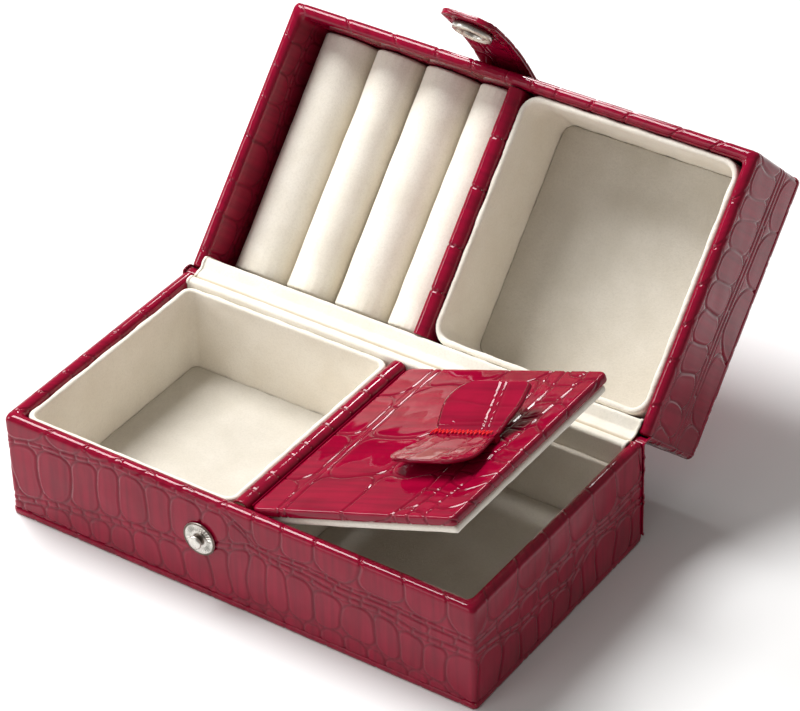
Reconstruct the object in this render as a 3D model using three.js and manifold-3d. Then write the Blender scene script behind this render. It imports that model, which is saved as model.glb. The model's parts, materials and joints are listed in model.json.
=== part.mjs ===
// Leather jewellery case: a base with two trays, a lid with four ring rolls and a tray,
// a flap over the right tray, and a strap that snaps the lid shut.
// Millimetres, +Z up, X along the front, Y from front to back.
// The origin is the middle of the underside. The case stands open.
import * as THREE from 'three';
import { mergeVertices } from 'three/addons/utils/BufferGeometryUtils.js';
import Module from 'manifold-3d';

const wasm = await Module();
wasm.setup();

// ---- Driving dimensions ----

const caseLength = 160;
const caseDepth = 86;
const halfHeight = 35; // height of the base, and of the lid
const rimGap = 0.5; // between the two rims when the lid is shut
const fit = 0.25; // clearance between glued neighbours
const seatGap = 0.3; // clearance beside pieces that are only set in place
const cutMargin = 1; // how far a cutting tool runs past the face that it cuts

const leatherThickness = 0.7;
const boardThickness = 2.1;
const cornerRadius = 1.2;
const rimRadius = 1.4;
const baseTurnIn = 8; // how far the rim's leather runs down inside the base
const lidTurnIn = 21; // and inside the lid, where it lines the walls beside the rolls

const lidOpenAngle = 133;
const flapRestAngle = 20.6;
const strapRestAngle = 5;
const frontLeafRestAngle = 2.5;
const backLeafRestAngle = 18;

const studX = -10.8;
const studZ = 20.3;

// ---- Derived sizes ----

const halfLength = caseLength / 2;
const halfDepth = caseDepth / 2;
const boardInset = leatherThickness + fit;
const boardInnerInset = boardInset + boardThickness;
const innerLeatherInset = boardInnerInset + fit;
const wallThickness = innerLeatherInset + leatherThickness;
const boardTopDepth = leatherThickness + fit;

// Depths are measured from a rim, down into its half of the case.
const panelThickness = 2;
const panelSkin = 0.5;
const panelLip = 0.4;
const panelDepth = halfHeight - panelThickness;
const wallEndDepth = panelDepth - fit;
const floorBoardThickness = 2.25;
const floorBoardDepth = wallEndDepth - floorBoardThickness;
const padThickness = 1;
const padDepth = floorBoardDepth - fit - padThickness;

// The hinge line runs just behind the back face and just under the rim.
const hingeBehind = 0.9;
const hingeBelow = 0.35;
const hingeY = halfDepth + hingeBehind;
const hingeZ = halfHeight - hingeBelow;

const hingeLiningThickness = 1.1;
const hingeLiningDepth = 7;
const backInset = innerLeatherInset + hingeLiningThickness;

const dividerLeft = -2.1;
const dividerRight = 3.2;
const dividerSkin = 0.6;
const dividerSkirt = 10; // how far the divider's leather cap comes down

const crossBoardReach = halfLength - innerLeatherInset;
const innerLeft = -halfLength + wallThickness;
const innerRight = halfLength - wallThickness;
const innerFront = -halfDepth + wallThickness;
const innerBack = halfDepth - backInset;

const baseDepthToZ = (depth) => halfHeight - depth;
const lidDepthToZ = (depth) => halfHeight + rimGap + depth;

// ---- Materials ----

const material = (color, roughness, metalness = 0) =>
  new THREE.MeshStandardMaterial({ color, roughness, metalness });

const redLeather = material(0x9c0a1c, 0.25);
const velvet = material(0xe9e2d2, 0.95);
const foam = material(0xd9d2c0, 0.95);
const fibreboard = material(0x9a7b55, 0.85);
const card = material(0xa89c88, 0.9);
const nickel = material(0xc9c6c0, 0.25, 1);
const thread = material(0xd8141f, 0.6);

// ---- Shape helpers ----

const piece = (name, geometry, pieceMaterial) => {
  const mesh = new THREE.Mesh(geometry, pieceMaterial);
  mesh.name = name;
  return mesh;
};

const block = ([x0, x1], [y0, y1], [z0, z1]) => {
  const low = Math.min(z0, z1);
  const high = Math.max(z0, z1);
  const geometry = new THREE.BoxGeometry(x1 - x0, y1 - y0, high - low);
  return geometry.translate((x0 + x1) / 2, (y0 + y1) / 2, (low + high) / 2);
};

const basis = (x, y, z) => new THREE.Matrix4().makeBasis(
  new THREE.Vector3(...x), new THREE.Vector3(...y), new THREE.Vector3(...z));

// A shape drawn as (y, z), extruded from x0 to x1.
const extrudeAlongX = (shape, x0, x1, curveSegments = 6) => {
  const options = { depth: x1 - x0, bevelEnabled: false, curveSegments };
  const geometry = new THREE.ExtrudeGeometry(shape, options);
  return geometry.applyMatrix4(basis([0, 1, 0], [0, 0, 1], [1, 0, 0])).translate(x0, 0, 0);
};

// A shape drawn as (x, z), extruded from y1 forwards to y0.
const extrudeAlongY = (shape, y0, y1, curveSegments = 6) => {
  const options = { depth: y1 - y0, bevelEnabled: false, curveSegments };
  const geometry = new THREE.ExtrudeGeometry(shape, options);
  return geometry.applyMatrix4(basis([1, 0, 0], [0, 0, 1], [0, -1, 0])).translate(0, y1, 0);
};

const roundedRectangle = (x0, x1, y0, y1, radius) => {
  const shape = new THREE.Shape();
  shape.moveTo(x0 + radius, y0);
  shape.lineTo(x1 - radius, y0);
  shape.absarc(x1 - radius, y0 + radius, radius, -Math.PI / 2, 0);
  shape.lineTo(x1, y1 - radius);
  shape.absarc(x1 - radius, y1 - radius, radius, 0, Math.PI / 2);
  shape.lineTo(x0 + radius, y1);
  shape.absarc(x0 + radius, y1 - radius, radius, Math.PI / 2, Math.PI);
  shape.lineTo(x0, y0 + radius);
  shape.absarc(x0 + radius, y0 + radius, radius, Math.PI, Math.PI * 1.5);
  return shape;
};

const plate = (x0, x1, y0, y1, z0, z1, radius) => {
  const low = Math.min(z0, z1);
  const options = { depth: Math.abs(z1 - z0), bevelEnabled: false, curveSegments: 4 };
  const shape = roundedRectangle(x0, x1, y0, y1, radius);
  return new THREE.ExtrudeGeometry(shape, options).translate(0, 0, low);
};

const signedArea = (points) => points.reduce((sum, [x, y], index) => {
  const [nextX, nextY] = points[(index + 1) % points.length];
  return sum + (x * nextY - nextX * y) / 2;
}, 0);

// A closed profile of [inset, z] points carried round a rounded rectangle.
const sweptRing = ([x0, x1], [y0, y1], radius, profile) => {
  const cornerSteps = 4;
  const smallestRadius = 0.4;
  const corners = [[1, -1, -0.5], [1, 1, 0], [-1, 1, 0.5], [-1, -1, 1]];
  const outward = profile.map(([inset, z]) => [-inset, z]);
  const ordered = signedArea(outward) > 0 ? profile : [...profile].reverse();
  const vertices = [];
  for (const [inset, z] of ordered) {
    const loopRadius = Math.max(radius - inset, smallestRadius);
    const reachX = (x1 - x0) / 2 - inset - loopRadius;
    const reachY = (y1 - y0) / 2 - inset - loopRadius;
    for (const [signX, signY, startTurn] of corners) {
      for (let step = 0; step <= cornerSteps; step += 1) {
        const angle = Math.PI * (startTurn + step / cornerSteps / 2);
        vertices.push((x0 + x1) / 2 + signX * reachX + loopRadius * Math.cos(angle));
        vertices.push((y0 + y1) / 2 + signY * reachY + loopRadius * Math.sin(angle));
        vertices.push(z);
      }
    }
  }
  const loopLength = corners.length * (cornerSteps + 1);
  const faces = [];
  for (let row = 0; row < ordered.length; row += 1) {
    const nextRow = (row + 1) % ordered.length;
    for (let column = 0; column < loopLength; column += 1) {
      const nextColumn = (column + 1) % loopLength;
      const a = row * loopLength + column;
      const b = row * loopLength + nextColumn;
      const c = nextRow * loopLength + nextColumn;
      const d = nextRow * loopLength + column;
      faces.push(a, b, c, a, c, d);
    }
  }
  const geometry = new THREE.BufferGeometry();
  geometry.setAttribute('position', new THREE.Float32BufferAttribute(vertices, 3));
  geometry.setIndex(faces);
  return geometry;
};

// A lathe turned about the line that runs forwards (-Y) from [x, y, z]; the profile
// holds [radius, distance in front of that point], and closes on itself off the axis.
const latheForwards = (profile, [x, y, z]) => {
  const segments = 24;
  const closed = profile[0][0] > 0 ? [...profile, profile[0]] : profile;
  const ordered = signedArea(profile) > 0 ? closed : closed.reverse();
  const points = ordered.map(([radius, ahead]) => new THREE.Vector2(radius, ahead));
  const geometry = new THREE.LatheGeometry(points, segments);
  return geometry.rotateX(Math.PI).translate(x, y, z);
};

const toSolid = (geometry) => {
  const bare = geometry.clone();
  bare.deleteAttribute('normal');
  bare.deleteAttribute('uv');
  const merged = mergeVertices(bare);
  return new wasm.Manifold(new wasm.Mesh({
    numProp: 3,
    vertProperties: new Float32Array(merged.attributes.position.array),
    triVerts: new Uint32Array(merged.index.array),
  }));
};

const fromSolid = (solid) => {
  const mesh = solid.getMesh();
  const geometry = new THREE.BufferGeometry();
  geometry.setAttribute('position', new THREE.BufferAttribute(mesh.vertProperties, 3));
  geometry.setIndex(new THREE.BufferAttribute(mesh.triVerts, 1));
  return geometry;
};

const cut = (geometry, ...tools) => fromSolid(
  tools.reduce((solid, tool) => solid.subtract(toSolid(tool)), toSolid(geometry)));

const common = (first, second) => fromSolid(toSolid(first).intersect(toSolid(second)));

const degrees = (angle) => angle * Math.PI / 180;

// A group drawn in its shut position and turned about a line through a pivot.
const turnedGroup = (pivot, axis, angle, children) => {
  const outer = new THREE.Group();
  const inner = new THREE.Group();
  outer.position.set(...pivot);
  outer.quaternion.setFromAxisAngle(new THREE.Vector3(...axis), degrees(angle));
  inner.position.set(-pivot[0], -pivot[1], -pivot[2]);
  inner.add(...children);
  outer.add(inner);
  return outer;
};

// ---- The two halves of the shell ----

// The leather over a wall: its outer face, the rolled rim and the turn-in.
const wrapSection = (toZ, turnIn) => {
  const steps = 3;
  const outerCorner = [];
  const innerCorner = [];
  for (let step = 0; step <= steps; step += 1) {
    const turn = Math.PI / 2 * step / steps;
    const inset = rimRadius * (1 - Math.cos(turn));
    const depth = rimRadius * (1 - Math.sin(turn));
    outerCorner.push([inset, depth]);
    innerCorner.unshift([wallThickness - inset, depth]);
  }
  const section = [
    [0, wallEndDepth], ...outerCorner, ...innerCorner, [wallThickness, turnIn],
    [innerLeatherInset, turnIn], [innerLeatherInset, leatherThickness],
    [leatherThickness, leatherThickness], [leatherThickness, wallEndDepth],
  ];
  return section.map(([inset, depth]) => [inset, toZ(depth)]);
};

// The wrap covers the front and the two sides, and is open at the back.
const leatherWrap = (toZ, turnIn, holes) => {
  const far = halfLength + halfDepth; // past every face
  const xSpan = [-halfLength, halfLength];
  const ring = sweptRing(xSpan, [-halfDepth, halfDepth], cornerRadius, wrapSection(toZ, turnIn));
  const cutBehind = (reach, y) => block([-reach, reach], [y, far], [-far, far]);
  const innerEnds = cutBehind(innerRight, halfDepth - wallThickness - rimRadius);
  const boardEnds = cutBehind(crossBoardReach, halfDepth - innerLeatherInset);
  const backFace = cutBehind(far, halfDepth - boardInset);
  return cut(ring, innerEnds, boardEnds, backFace, ...holes);
};

const sideBoard = (side, toZ) => {
  const outer = side * (halfLength - boardInset);
  const inner = side * (halfLength - boardInnerInset);
  const ySpan = [-halfDepth + boardInset, halfDepth - boardInset];
  const zSpan = [toZ(boardTopDepth), toZ(wallEndDepth)];
  return block([Math.min(outer, inner), Math.max(outer, inner)], ySpan, zSpan);
};

const frontBoard = (toZ) => block(
  [-crossBoardReach, crossBoardReach],
  [-halfDepth + boardInset, -halfDepth + boardInnerInset],
  [toZ(boardTopDepth), toZ(wallEndDepth)]);

const backBoard = (toZ) => block(
  [-crossBoardReach, crossBoardReach],
  [halfDepth - boardInnerInset, halfDepth - boardInset],
  [toZ(hingeLiningThickness + fit), toZ(wallEndDepth)]);

const floorBoard = (toZ) => block(
  [-crossBoardReach, crossBoardReach],
  [-halfDepth + innerLeatherInset, halfDepth - innerLeatherInset],
  [toZ(floorBoardDepth), toZ(wallEndDepth)]);

const backLeather = (toZ) => {
  const reach = halfLength - cornerRadius / 4;
  const ySpan = [halfDepth - leatherThickness, halfDepth];
  return block([-reach, reach], ySpan, [toZ(fit), toZ(wallEndDepth)]);
};

// Velvet over the back wall's top edge and a little way down the inside.
const hingeLining = (toZ) => {
  const radius = 1;
  const inner = halfDepth - innerLeatherInset;
  const outer = halfDepth - boardInset;
  const bendSteps = 3;
  const outline = [[outer, 0]];
  for (let step = 0; step <= bendSteps; step += 1) {
    const turn = Math.PI / 2 * step / bendSteps;
    outline.push([innerBack + radius * (1 - Math.sin(turn)), radius * (1 - Math.cos(turn))]);
  }
  outline.push([innerBack, hingeLiningDepth], [inner, hingeLiningDepth]);
  outline.push([inner, hingeLiningThickness], [outer, hingeLiningThickness]);
  const shape = new THREE.Shape(outline.map(([y, depth]) => new THREE.Vector2(y, toZ(depth))));
  return extrudeAlongX(shape, innerLeft + seatGap, innerRight - seatGap);
};

const frontSeat = innerFront + seatGap;
const backSeat = innerBack - seatGap;

const dividerBoard = (toZ) => {
  const inset = dividerSkin + fit;
  const xSpan = [dividerLeft + inset, dividerRight - inset];
  return block(xSpan, [frontSeat, backSeat], [toZ(inset), toZ(floorBoardDepth - fit)]);
};

// A leather cap over the divider, with rounded shoulders.
const dividerCover = (toZ) => {
  const radius = 1.4;
  const steps = 3;
  const left = [];
  const right = [];
  for (let step = 0; step <= steps; step += 1) {
    const turn = Math.PI / 2 * step / steps;
    const inset = radius * (1 - Math.cos(turn));
    const depth = radius * (1 - Math.sin(turn));
    left.push([dividerLeft + inset, depth]);
    right.unshift([dividerRight - inset, depth]);
  }
  const outline = [
    [dividerLeft, dividerSkirt], ...left, ...right, [dividerRight, dividerSkirt],
    [dividerRight - dividerSkin, dividerSkirt], [dividerRight - dividerSkin, dividerSkin],
    [dividerLeft + dividerSkin, dividerSkin], [dividerLeft + dividerSkin, dividerSkirt],
  ];
  const shape = new THREE.Shape(outline.map(([x, depth]) => new THREE.Vector2(x, toZ(depth))));
  return extrudeAlongY(shape, frontSeat, backSeat);
};

// The leather-covered panel that closes a half: the foot of the base, the top of the lid.
const endPanelCover = (toZ) => {
  const x = halfLength + panelLip;
  const y = halfDepth + panelLip;
  const outer = plate(-x, x, -y, y, toZ(panelDepth), toZ(halfHeight), cornerRadius);
  const pocketX = x - panelSkin;
  const pocketY = y - panelSkin;
  const pocketSpan = [toZ(panelDepth - cutMargin), toZ(halfHeight - panelSkin)];
  return cut(outer, block([-pocketX, pocketX], [-pocketY, pocketY], pocketSpan));
};

const endPanelBoard = (toZ) => {
  const x = halfLength + panelLip - panelSkin - fit;
  const y = halfDepth + panelLip - panelSkin - fit;
  return block([-x, x], [-y, y], [toZ(panelDepth), toZ(halfHeight - panelSkin - fit)]);
};

// A velvet-covered card wall bent round the inside of a tray.
const trayLining = (xSpan, topDepth, thickness, radius, toZ) => {
  const edge = 0.4;
  const section = [
    [0, floorBoardDepth - fit], [0, topDepth + edge], [edge, topDepth],
    [thickness - edge, topDepth], [thickness, topDepth + edge],
    [thickness, floorBoardDepth - fit],
  ];
  const profile = section.map(([inset, depth]) => [inset, toZ(depth)]);
  return sweptRing(xSpan, [frontSeat, backSeat], radius, profile);
};

const trayPad = ([x0, x1], thickness, radius, toZ) => {
  const inset = thickness + seatGap;
  const padRadius = Math.max(radius - inset, fit);
  return plate(x0 + inset, x1 - inset, frontSeat + inset, backSeat - inset,
    toZ(padDepth), toZ(padDepth + padThickness), padRadius);
};

const halfPieces = ({ half, inner, outer, toZ, turnIn, boards, holes }) => [
  piece(`${half}_front_board`, cut(frontBoard(toZ), ...holes), boards),
  piece(`${half}_back_board`, backBoard(toZ), boards),
  piece(`${half}_left_board`, sideBoard(-1, toZ), boards),
  piece(`${half}_right_board`, sideBoard(1, toZ), boards),
  piece(`${half}_${inner}_board`, floorBoard(toZ), boards),
  piece(`${half}_leather_wrap`, leatherWrap(toZ, turnIn, holes), redLeather),
  piece(`${half}_back_leather`, backLeather(toZ), redLeather),
  piece(`${half}_hinge_lining`, hingeLining(toZ), velvet),
  piece(`${half}_divider_board`, dividerBoard(toZ), boards),
  piece(`${half}_divider_cover`, dividerCover(toZ), redLeather),
  piece(`${half}_${outer}_panel_board`, endPanelBoard(toZ), boards),
  piece(`${half}_${outer}_panel_cover`, endPanelCover(toZ), redLeather),
];

const leftSeat = [innerLeft + seatGap, dividerLeft - seatGap];
const rightSeat = [dividerRight + seatGap, innerRight - seatGap];

// ---- Trays in the base ----

const baseTrayThickness = 1.5;
const baseTrayRadius = 4;
const leftTrayTopDepth = 1.4;
const ledgeDepth = 7.4; // the right tray's lining stops short, as a ledge for the flap

const basePieces = () => {
  const lining = (span, depth) => trayLining(
    span, depth, baseTrayThickness, baseTrayRadius, baseDepthToZ);
  const pad = (span) => trayPad(span, baseTrayThickness, baseTrayRadius, baseDepthToZ);
  return [
    piece('left_tray_lining', lining(leftSeat, leftTrayTopDepth), velvet),
    piece('left_tray_pad', pad(leftSeat), velvet),
    piece('right_tray_lining', lining(rightSeat, ledgeDepth), velvet),
    piece('right_tray_pad', pad(rightSeat), velvet),
  ];
};

// ---- Ring rolls and tray in the lid ----

const wideRoll = 19.4;
const narrowRoll = 16.8;
const rollWidths = [wideRoll, narrowRoll, wideRoll, narrowRoll];
const rollGap = 0.3;
const rollCrestDepth = 10.5;
const rollVelvet = 0.9;
const rollFoam = 3.5; // a foam sheet bent over, hollow beneath
const rollCardThickness = 1.25;
const rollCardDepth = floorBoardDepth - fit - rollCardThickness;
const rollBottomDepth = rollCardDepth - fit;
const lidTrayThickness = 1.7;
const lidTrayRadius = 6;
const lidTrayTopDepth = 1.6;

// Half a cylinder on straight flanks, shrunk by an inset.
const rollOutline = (centre, width, inset) => {
  const radius = width / 2 - inset;
  const arcZ = lidDepthToZ(rollCrestDepth + width / 2);
  const bottomZ = lidDepthToZ(rollBottomDepth);
  const steps = 10;
  const points = [new THREE.Vector2(centre + radius, bottomZ)];
  for (let step = 0; step <= steps; step += 1) {
    const turn = Math.PI * step / steps;
    const x = centre + radius * Math.cos(turn);
    points.push(new THREE.Vector2(x, arcZ - radius * Math.sin(turn)));
  }
  points.push(new THREE.Vector2(centre - radius, bottomZ));
  return points;
};

const rollPieces = () => {
  const meshes = [];
  const coreShort = 0.6;
  let start = leftSeat[0];
  rollWidths.forEach((width, index) => {
    const centre = start + width / 2;
    const arch = (outer, inner) => new THREE.Shape([
      ...rollOutline(centre, width, outer), ...rollOutline(centre, width, inner).reverse()]);
    const cover = extrudeAlongY(arch(0, rollVelvet), frontSeat, backSeat);
    const coreInset = rollVelvet + fit;
    const core = extrudeAlongY(
      arch(coreInset, coreInset + rollFoam), frontSeat + coreShort, backSeat - coreShort);
    const number = index + 1;
    meshes.push(piece(`ring_roll_cover_${number}`, cover, velvet));
    meshes.push(piece(`ring_roll_core_${number}`, core, foam));
    start += width + rollGap;
  });
  return meshes;
};

const lidPieces = () => {
  const cardSpan = [lidDepthToZ(rollCardDepth), lidDepthToZ(rollCardDepth + rollCardThickness)];
  const lining = trayLining(
    rightSeat, lidTrayTopDepth, lidTrayThickness, lidTrayRadius, lidDepthToZ);
  const pad = trayPad(rightSeat, lidTrayThickness, lidTrayRadius, lidDepthToZ);
  return [
    piece('roll_backing_card', block(leftSeat, [frontSeat, backSeat], cardSpan), card),
    ...rollPieces(),
    piece('lid_tray_lining', lining, velvet),
    piece('lid_tray_pad', pad, velvet),
  ];
};

// ---- Snap fastener and strap ----

const strapWidth = 18.4;
const strapLayer = 0.6;
const strapPlyGap = 0.15; // from the strap's middle to each layer
const strapLean = 12; // how far the strap leans off the wall where it bends
const strapBendLength = 29;
const strapLength = 36.5;
const socketAlong = 29; // from the bend to the middle of the snap
const anchorLength = 16;
const anchorBendLength = 5;
const strapHalfThickness = strapPlyGap + strapLayer;
const strapBendGap = 3; // steps left out beyond the bend, which give it room to fold
const anchorBendGap = 1;

// Points down (or up) the strap's middle line, one for each step, with its lean there.
const strapWalk = (start, length, bendLength, direction) => {
  const step = 0.5;
  const steps = Math.round(length / step);
  const walk = [{ y: start.y, z: start.z, lean: degrees(strapLean) }];
  for (let index = 1; index <= steps; index += 1) {
    const last = walk[walk.length - 1];
    const along = (index - 0.5) * step;
    const lean = degrees(strapLean) * Math.max(0, 1 - along / bendLength);
    walk.push({
      y: last.y - direction * step * Math.sin(lean),
      z: last.z - direction * step * Math.cos(lean),
      lean,
    });
  }
  return walk;
};

const origin = { y: 0, z: 0 };
const anchorRise = strapWalk(origin, anchorLength, anchorBendLength, -1).at(-1).y;
const socketDrop = strapWalk(origin, socketAlong, strapBendLength, 1).at(-1);
const strapHinge = {
  y: -halfDepth - seatGap - strapHalfThickness - anchorRise,
  z: studZ - socketDrop.z,
};
const strapFaceY = strapHinge.y + socketDrop.y; // the strap's middle at the snap, shut

// A band that follows a walk, between two offsets outwards from the middle line.
const strapBand = (walk, inner, outer) => {
  const every = 4;
  const kept = walk.filter((_, index) => index % every === 0 || index === walk.length - 1);
  const side = (offset) => kept.map(({ y, z, lean }) => new THREE.Vector2(
    y - offset * Math.cos(lean), z + offset * Math.sin(lean)));
  const shape = new THREE.Shape([...side(inner), ...side(outer).reverse()]);
  const reach = strapWidth / 2;
  return extrudeAlongX(shape, studX - reach, studX + reach);
};

const strapOutline = () => {
  const tipRadius = 5.5;
  const reach = strapWidth / 2;
  const tipZ = strapHinge.z - strapLength;
  const top = strapHinge.z + seatGap;
  const shape = new THREE.Shape();
  shape.moveTo(studX + reach, top);
  shape.lineTo(studX - reach, top);
  shape.lineTo(studX - reach, tipZ + tipRadius);
  shape.absarc(studX - reach + tipRadius, tipZ + tipRadius, tipRadius, Math.PI, Math.PI * 1.5);
  shape.lineTo(studX + reach - tipRadius, tipZ);
  shape.absarc(studX + reach - tipRadius, tipZ + tipRadius, tipRadius, -Math.PI / 2, 0);
  return extrudeAlongY(shape, -halfDepth * 2, 0);
};

const snapHole = (radius, y0, y1) => {
  const sides = 20;
  const hole = new THREE.CylinderGeometry(radius, radius, y1 - y0, sides);
  return hole.translate(studX, (y0 + y1) / 2, studZ);
};

const shankRadius = 1.5;
const shankHoleRadius = 1.9;

const strapLayers = () => {
  const start = { y: strapHinge.y, z: strapHinge.z };
  const walk = strapWalk(start, strapLength, strapBendLength, 1).slice(strapBendGap);
  const hole = snapHole(shankHoleRadius, -halfDepth * 2, -halfDepth);
  const layer = (inner, outer) => cut(
    common(strapBand(walk, inner, outer), strapOutline()), hole);
  return [
    piece('strap_outer_leather', layer(strapPlyGap, strapHalfThickness), redLeather),
    piece('strap_inner_leather', layer(-strapHalfThickness, -strapPlyGap), redLeather),
  ];
};

const strapAnchor = () => {
  const start = { y: strapHinge.y, z: strapHinge.z };
  const walk = strapWalk(start, anchorLength, anchorBendLength, -1).slice(anchorBendGap);
  return piece('strap_anchor', strapBand(walk, -strapHalfThickness, strapHalfThickness), redLeather);
};

const flangeRadius = 5.7;
const flangeThickness = 0.55;
const knobRadius = 2.8;
const knobHeight = 1.75;
const socketRadius = 6.3;
const socketCavityRadius = 3.4;
const socketPlate = 0.5;
const capRadius = 6.6;
const capHeight = 1.1;

// The stud on the base's front: a flange, a hollow knob, and a socket behind for the rivet.
const snapStud = () => {
  const back = fit;
  const face = back + flangeThickness;
  const boreRadius = 1.2;
  const rimStep = 0.15;
  const wall = 0.35;
  const profile = [
    [0, face], [shankHoleRadius, face], [shankHoleRadius, back],
    [flangeRadius - rimStep, back], [flangeRadius, back + rimStep],
    [flangeRadius, face - rimStep], [flangeRadius - rimStep, face], [knobRadius, face],
    [knobRadius, face + knobHeight - wall], [knobRadius - wall, face + knobHeight],
    [boreRadius, face + knobHeight], [boreRadius, face + wall], [0, face + wall],
  ];
  return piece('snap_stud', latheForwards(profile, [studX, -halfDepth, studZ]), nickel);
};

// The rivet through the front board that holds the stud.
const snapStudRivet = () => {
  const headRadius = 4;
  const headThickness = 0.5;
  const inside = boardInnerInset + fit;
  const profile = [
    [0, -inside - headThickness], [headRadius, -inside - headThickness],
    [headRadius, -inside], [shankRadius, -inside], [shankRadius, fit + flangeThickness / 2],
    [0, fit + flangeThickness / 2],
  ];
  return piece('snap_stud_rivet', latheForwards(profile, [studX, -halfDepth, studZ]), nickel);
};

const snapCap = () => {
  const face = strapHalfThickness + fit;
  const shankEnd = -strapHalfThickness - fit - socketPlate / 2;
  const bevel = 0.5;
  const profile = [
    [0, shankEnd], [shankRadius, shankEnd], [shankRadius, face], [capRadius, face],
    [capRadius, face + bevel / 2], [capRadius - bevel, face + bevel],
    [capRadius / 2, face + capHeight], [0, face + capHeight],
  ];
  return piece('snap_cap', latheForwards(profile, [studX, strapFaceY, studZ]), nickel);
};

const snapSocket = () => {
  const plateFace = -strapHalfThickness - fit;
  const mouth = -halfDepth - fit - flangeThickness - fit - strapFaceY;
  const rolled = 0.35;
  const profile = [
    [shankHoleRadius, plateFace], [shankHoleRadius, plateFace - socketPlate],
    [socketCavityRadius, plateFace - socketPlate], [socketCavityRadius, -mouth],
    [socketRadius - rolled, -mouth], [socketRadius, -mouth + rolled],
    [socketRadius, plateFace - rolled], [socketRadius - rolled, plateFace],
  ];
  return piece('snap_socket', latheForwards(profile, [studX, strapFaceY, studZ]), nickel);
};

// ---- Flap over the right tray ----

const flapTopDepth = 0.8;
const flapThickness = 3.5;
const flapSkin = 0.7;
const flapLiningThickness = 2.35;
const flapLiningInset = 1.3;
const flapBoardThickness = 1.4;
const flapSideGap = 0.4;
const flapBackGap = 0.6;
const flapHingeStripThickness = 0.3;
const flapHingeX = dividerRight + fit + flapHingeStripThickness / 2;
const flapHingeDepth = flapTopDepth + seatGap;
const flapLeft = flapHingeX + flapHingeStripThickness / 2 + fit;
const flapRight = innerRight - flapSideGap;
const flapFront = innerFront + flapSideGap;
const flapBack = innerBack - flapBackGap;
const flapTop = baseDepthToZ(flapTopDepth);
const flapBottom = flapTop - flapThickness;

const flapCover = () => {
  const bevel = 0.9;
  const flatCorner = 0.3; // corner radius of the flat top, inside the bevel
  const shape = roundedRectangle(
    flapLeft + bevel, flapRight - bevel, flapFront + bevel, flapBack - bevel, flatCorner);
  const options = {
    depth: flapThickness - 2 * bevel,
    bevelThickness: bevel,
    bevelSize: bevel,
    bevelSegments: 2,
    curveSegments: 2,
  };
  const outer = new THREE.ExtrudeGeometry(shape, options).translate(0, 0, flapBottom + bevel);
  const turnUnder = 8;
  const span = (inset, low, high) => block(
    [flapLeft + inset, flapRight - inset], [flapFront + inset, flapBack - inset], [low, high]);
  const cavity = span(flapSkin, flapBottom + flapSkin, flapTop - flapSkin);
  const window = span(turnUnder, flapBottom - cutMargin, flapBottom + flapSkin + cutMargin / 2);
  return piece('flap_leather_cover', cut(outer, cavity, window), redLeather);
};

const flapFilling = () => {
  const inset = flapSkin + fit;
  const xSpan = [flapLeft + inset, flapRight - inset];
  const ySpan = [flapFront + inset, flapBack - inset];
  const boardLow = flapBottom + flapSkin + fit / 2;
  const boardHigh = boardLow + flapBoardThickness;
  const paddingSpan = [boardHigh + fit / 2, flapTop - flapSkin - fit / 2];
  return [
    piece('flap_board', block(xSpan, ySpan, [boardLow, boardHigh]), card),
    piece('flap_padding', block(xSpan, ySpan, paddingSpan), foam),
  ];
};

const flapLining = () => {
  const radius = 2.5;
  const top = flapBottom - fit;
  return piece('flap_lining', plate(
    flapLeft + flapLiningInset, flapRight - flapLiningInset,
    flapFront + flapLiningInset, flapBack - flapLiningInset,
    top - flapLiningThickness, top, radius), velvet);
};

// A thin leather strip between the divider and the flap's edge.
const flapHingeStrip = () => {
  const height = 3;
  const endGap = 1.5;
  const reach = flapHingeStripThickness / 2;
  const top = baseDepthToZ(flapHingeDepth);
  return piece('flap_hinge_strip', block(
    [flapHingeX - reach, flapHingeX + reach],
    [flapFront + endGap, flapBack - endGap], [top - height, top]), redLeather);
};

// ---- Pull tab on the flap: a stitched root and two leaves ----

const tabX = 53.6;
const tabY = -1.2;
const tabHalfWidth = 11.35;
const tabRootHalf = 1.1;
const tabRootHeight = 2.3;
const leafThickness = 1.1;
const leafLift = 2; // height of the leaves' bends over the flap
const frontLeafLength = 17.5;
const backLeafLength = 20;
const leafAxisZ = flapTop + leafLift;
const leafGap = 0.65; // lets a leaf stand upright beside the root
const leafAxisOffset = tabRootHalf + leafGap;

const tabRoot = () => {
  const low = flapTop + fit;
  return piece('tab_root', block(
    [tabX - tabHalfWidth, tabX + tabHalfWidth],
    [tabY - tabRootHalf, tabY + tabRootHalf], [low, low + tabRootHeight]), redLeather);
};

const tabStitching = () => {
  const radius = 0.35;
  const sides = 8;
  const endGap = 0.8;
  const length = 2 * (tabHalfWidth - endGap);
  const cord = new THREE.CylinderGeometry(radius, radius, length, sides).rotateZ(Math.PI / 2);
  const height = flapTop + fit + tabRootHeight + seatGap + radius;
  return piece('tab_stitching', cord.translate(tabX, tabY, height), thread);
};

// A leaf flares from the stitched seam to a rounded end; side is -1 in front, 1 behind.
const tabLeaf = (name, length, side) => {
  const flare = 2.5;
  const endRadius = 6;
  const outline = new THREE.Shape();
  const edge = tabHalfWidth + flare;
  outline.moveTo(-tabHalfWidth, 0);
  outline.lineTo(tabHalfWidth, 0);
  outline.quadraticCurveTo(edge, length / 3, edge, length - endRadius);
  outline.quadraticCurveTo(edge, length, edge - endRadius, length);
  outline.lineTo(-edge + endRadius, length);
  outline.quadraticCurveTo(-edge, length, -edge, length - endRadius);
  outline.quadraticCurveTo(-edge, length / 3, -tabHalfWidth, 0);
  const options = { depth: leafThickness, bevelEnabled: false, curveSegments: 4 };
  const geometry = new THREE.ExtrudeGeometry(outline, options);
  geometry.translate(0, 0, -leafThickness / 2);
  if (side < 0) {
    geometry.rotateZ(Math.PI);
  }
  geometry.translate(tabX, tabY + side * leafAxisOffset, leafAxisZ);
  return piece(name, geometry, redLeather);
};

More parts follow.
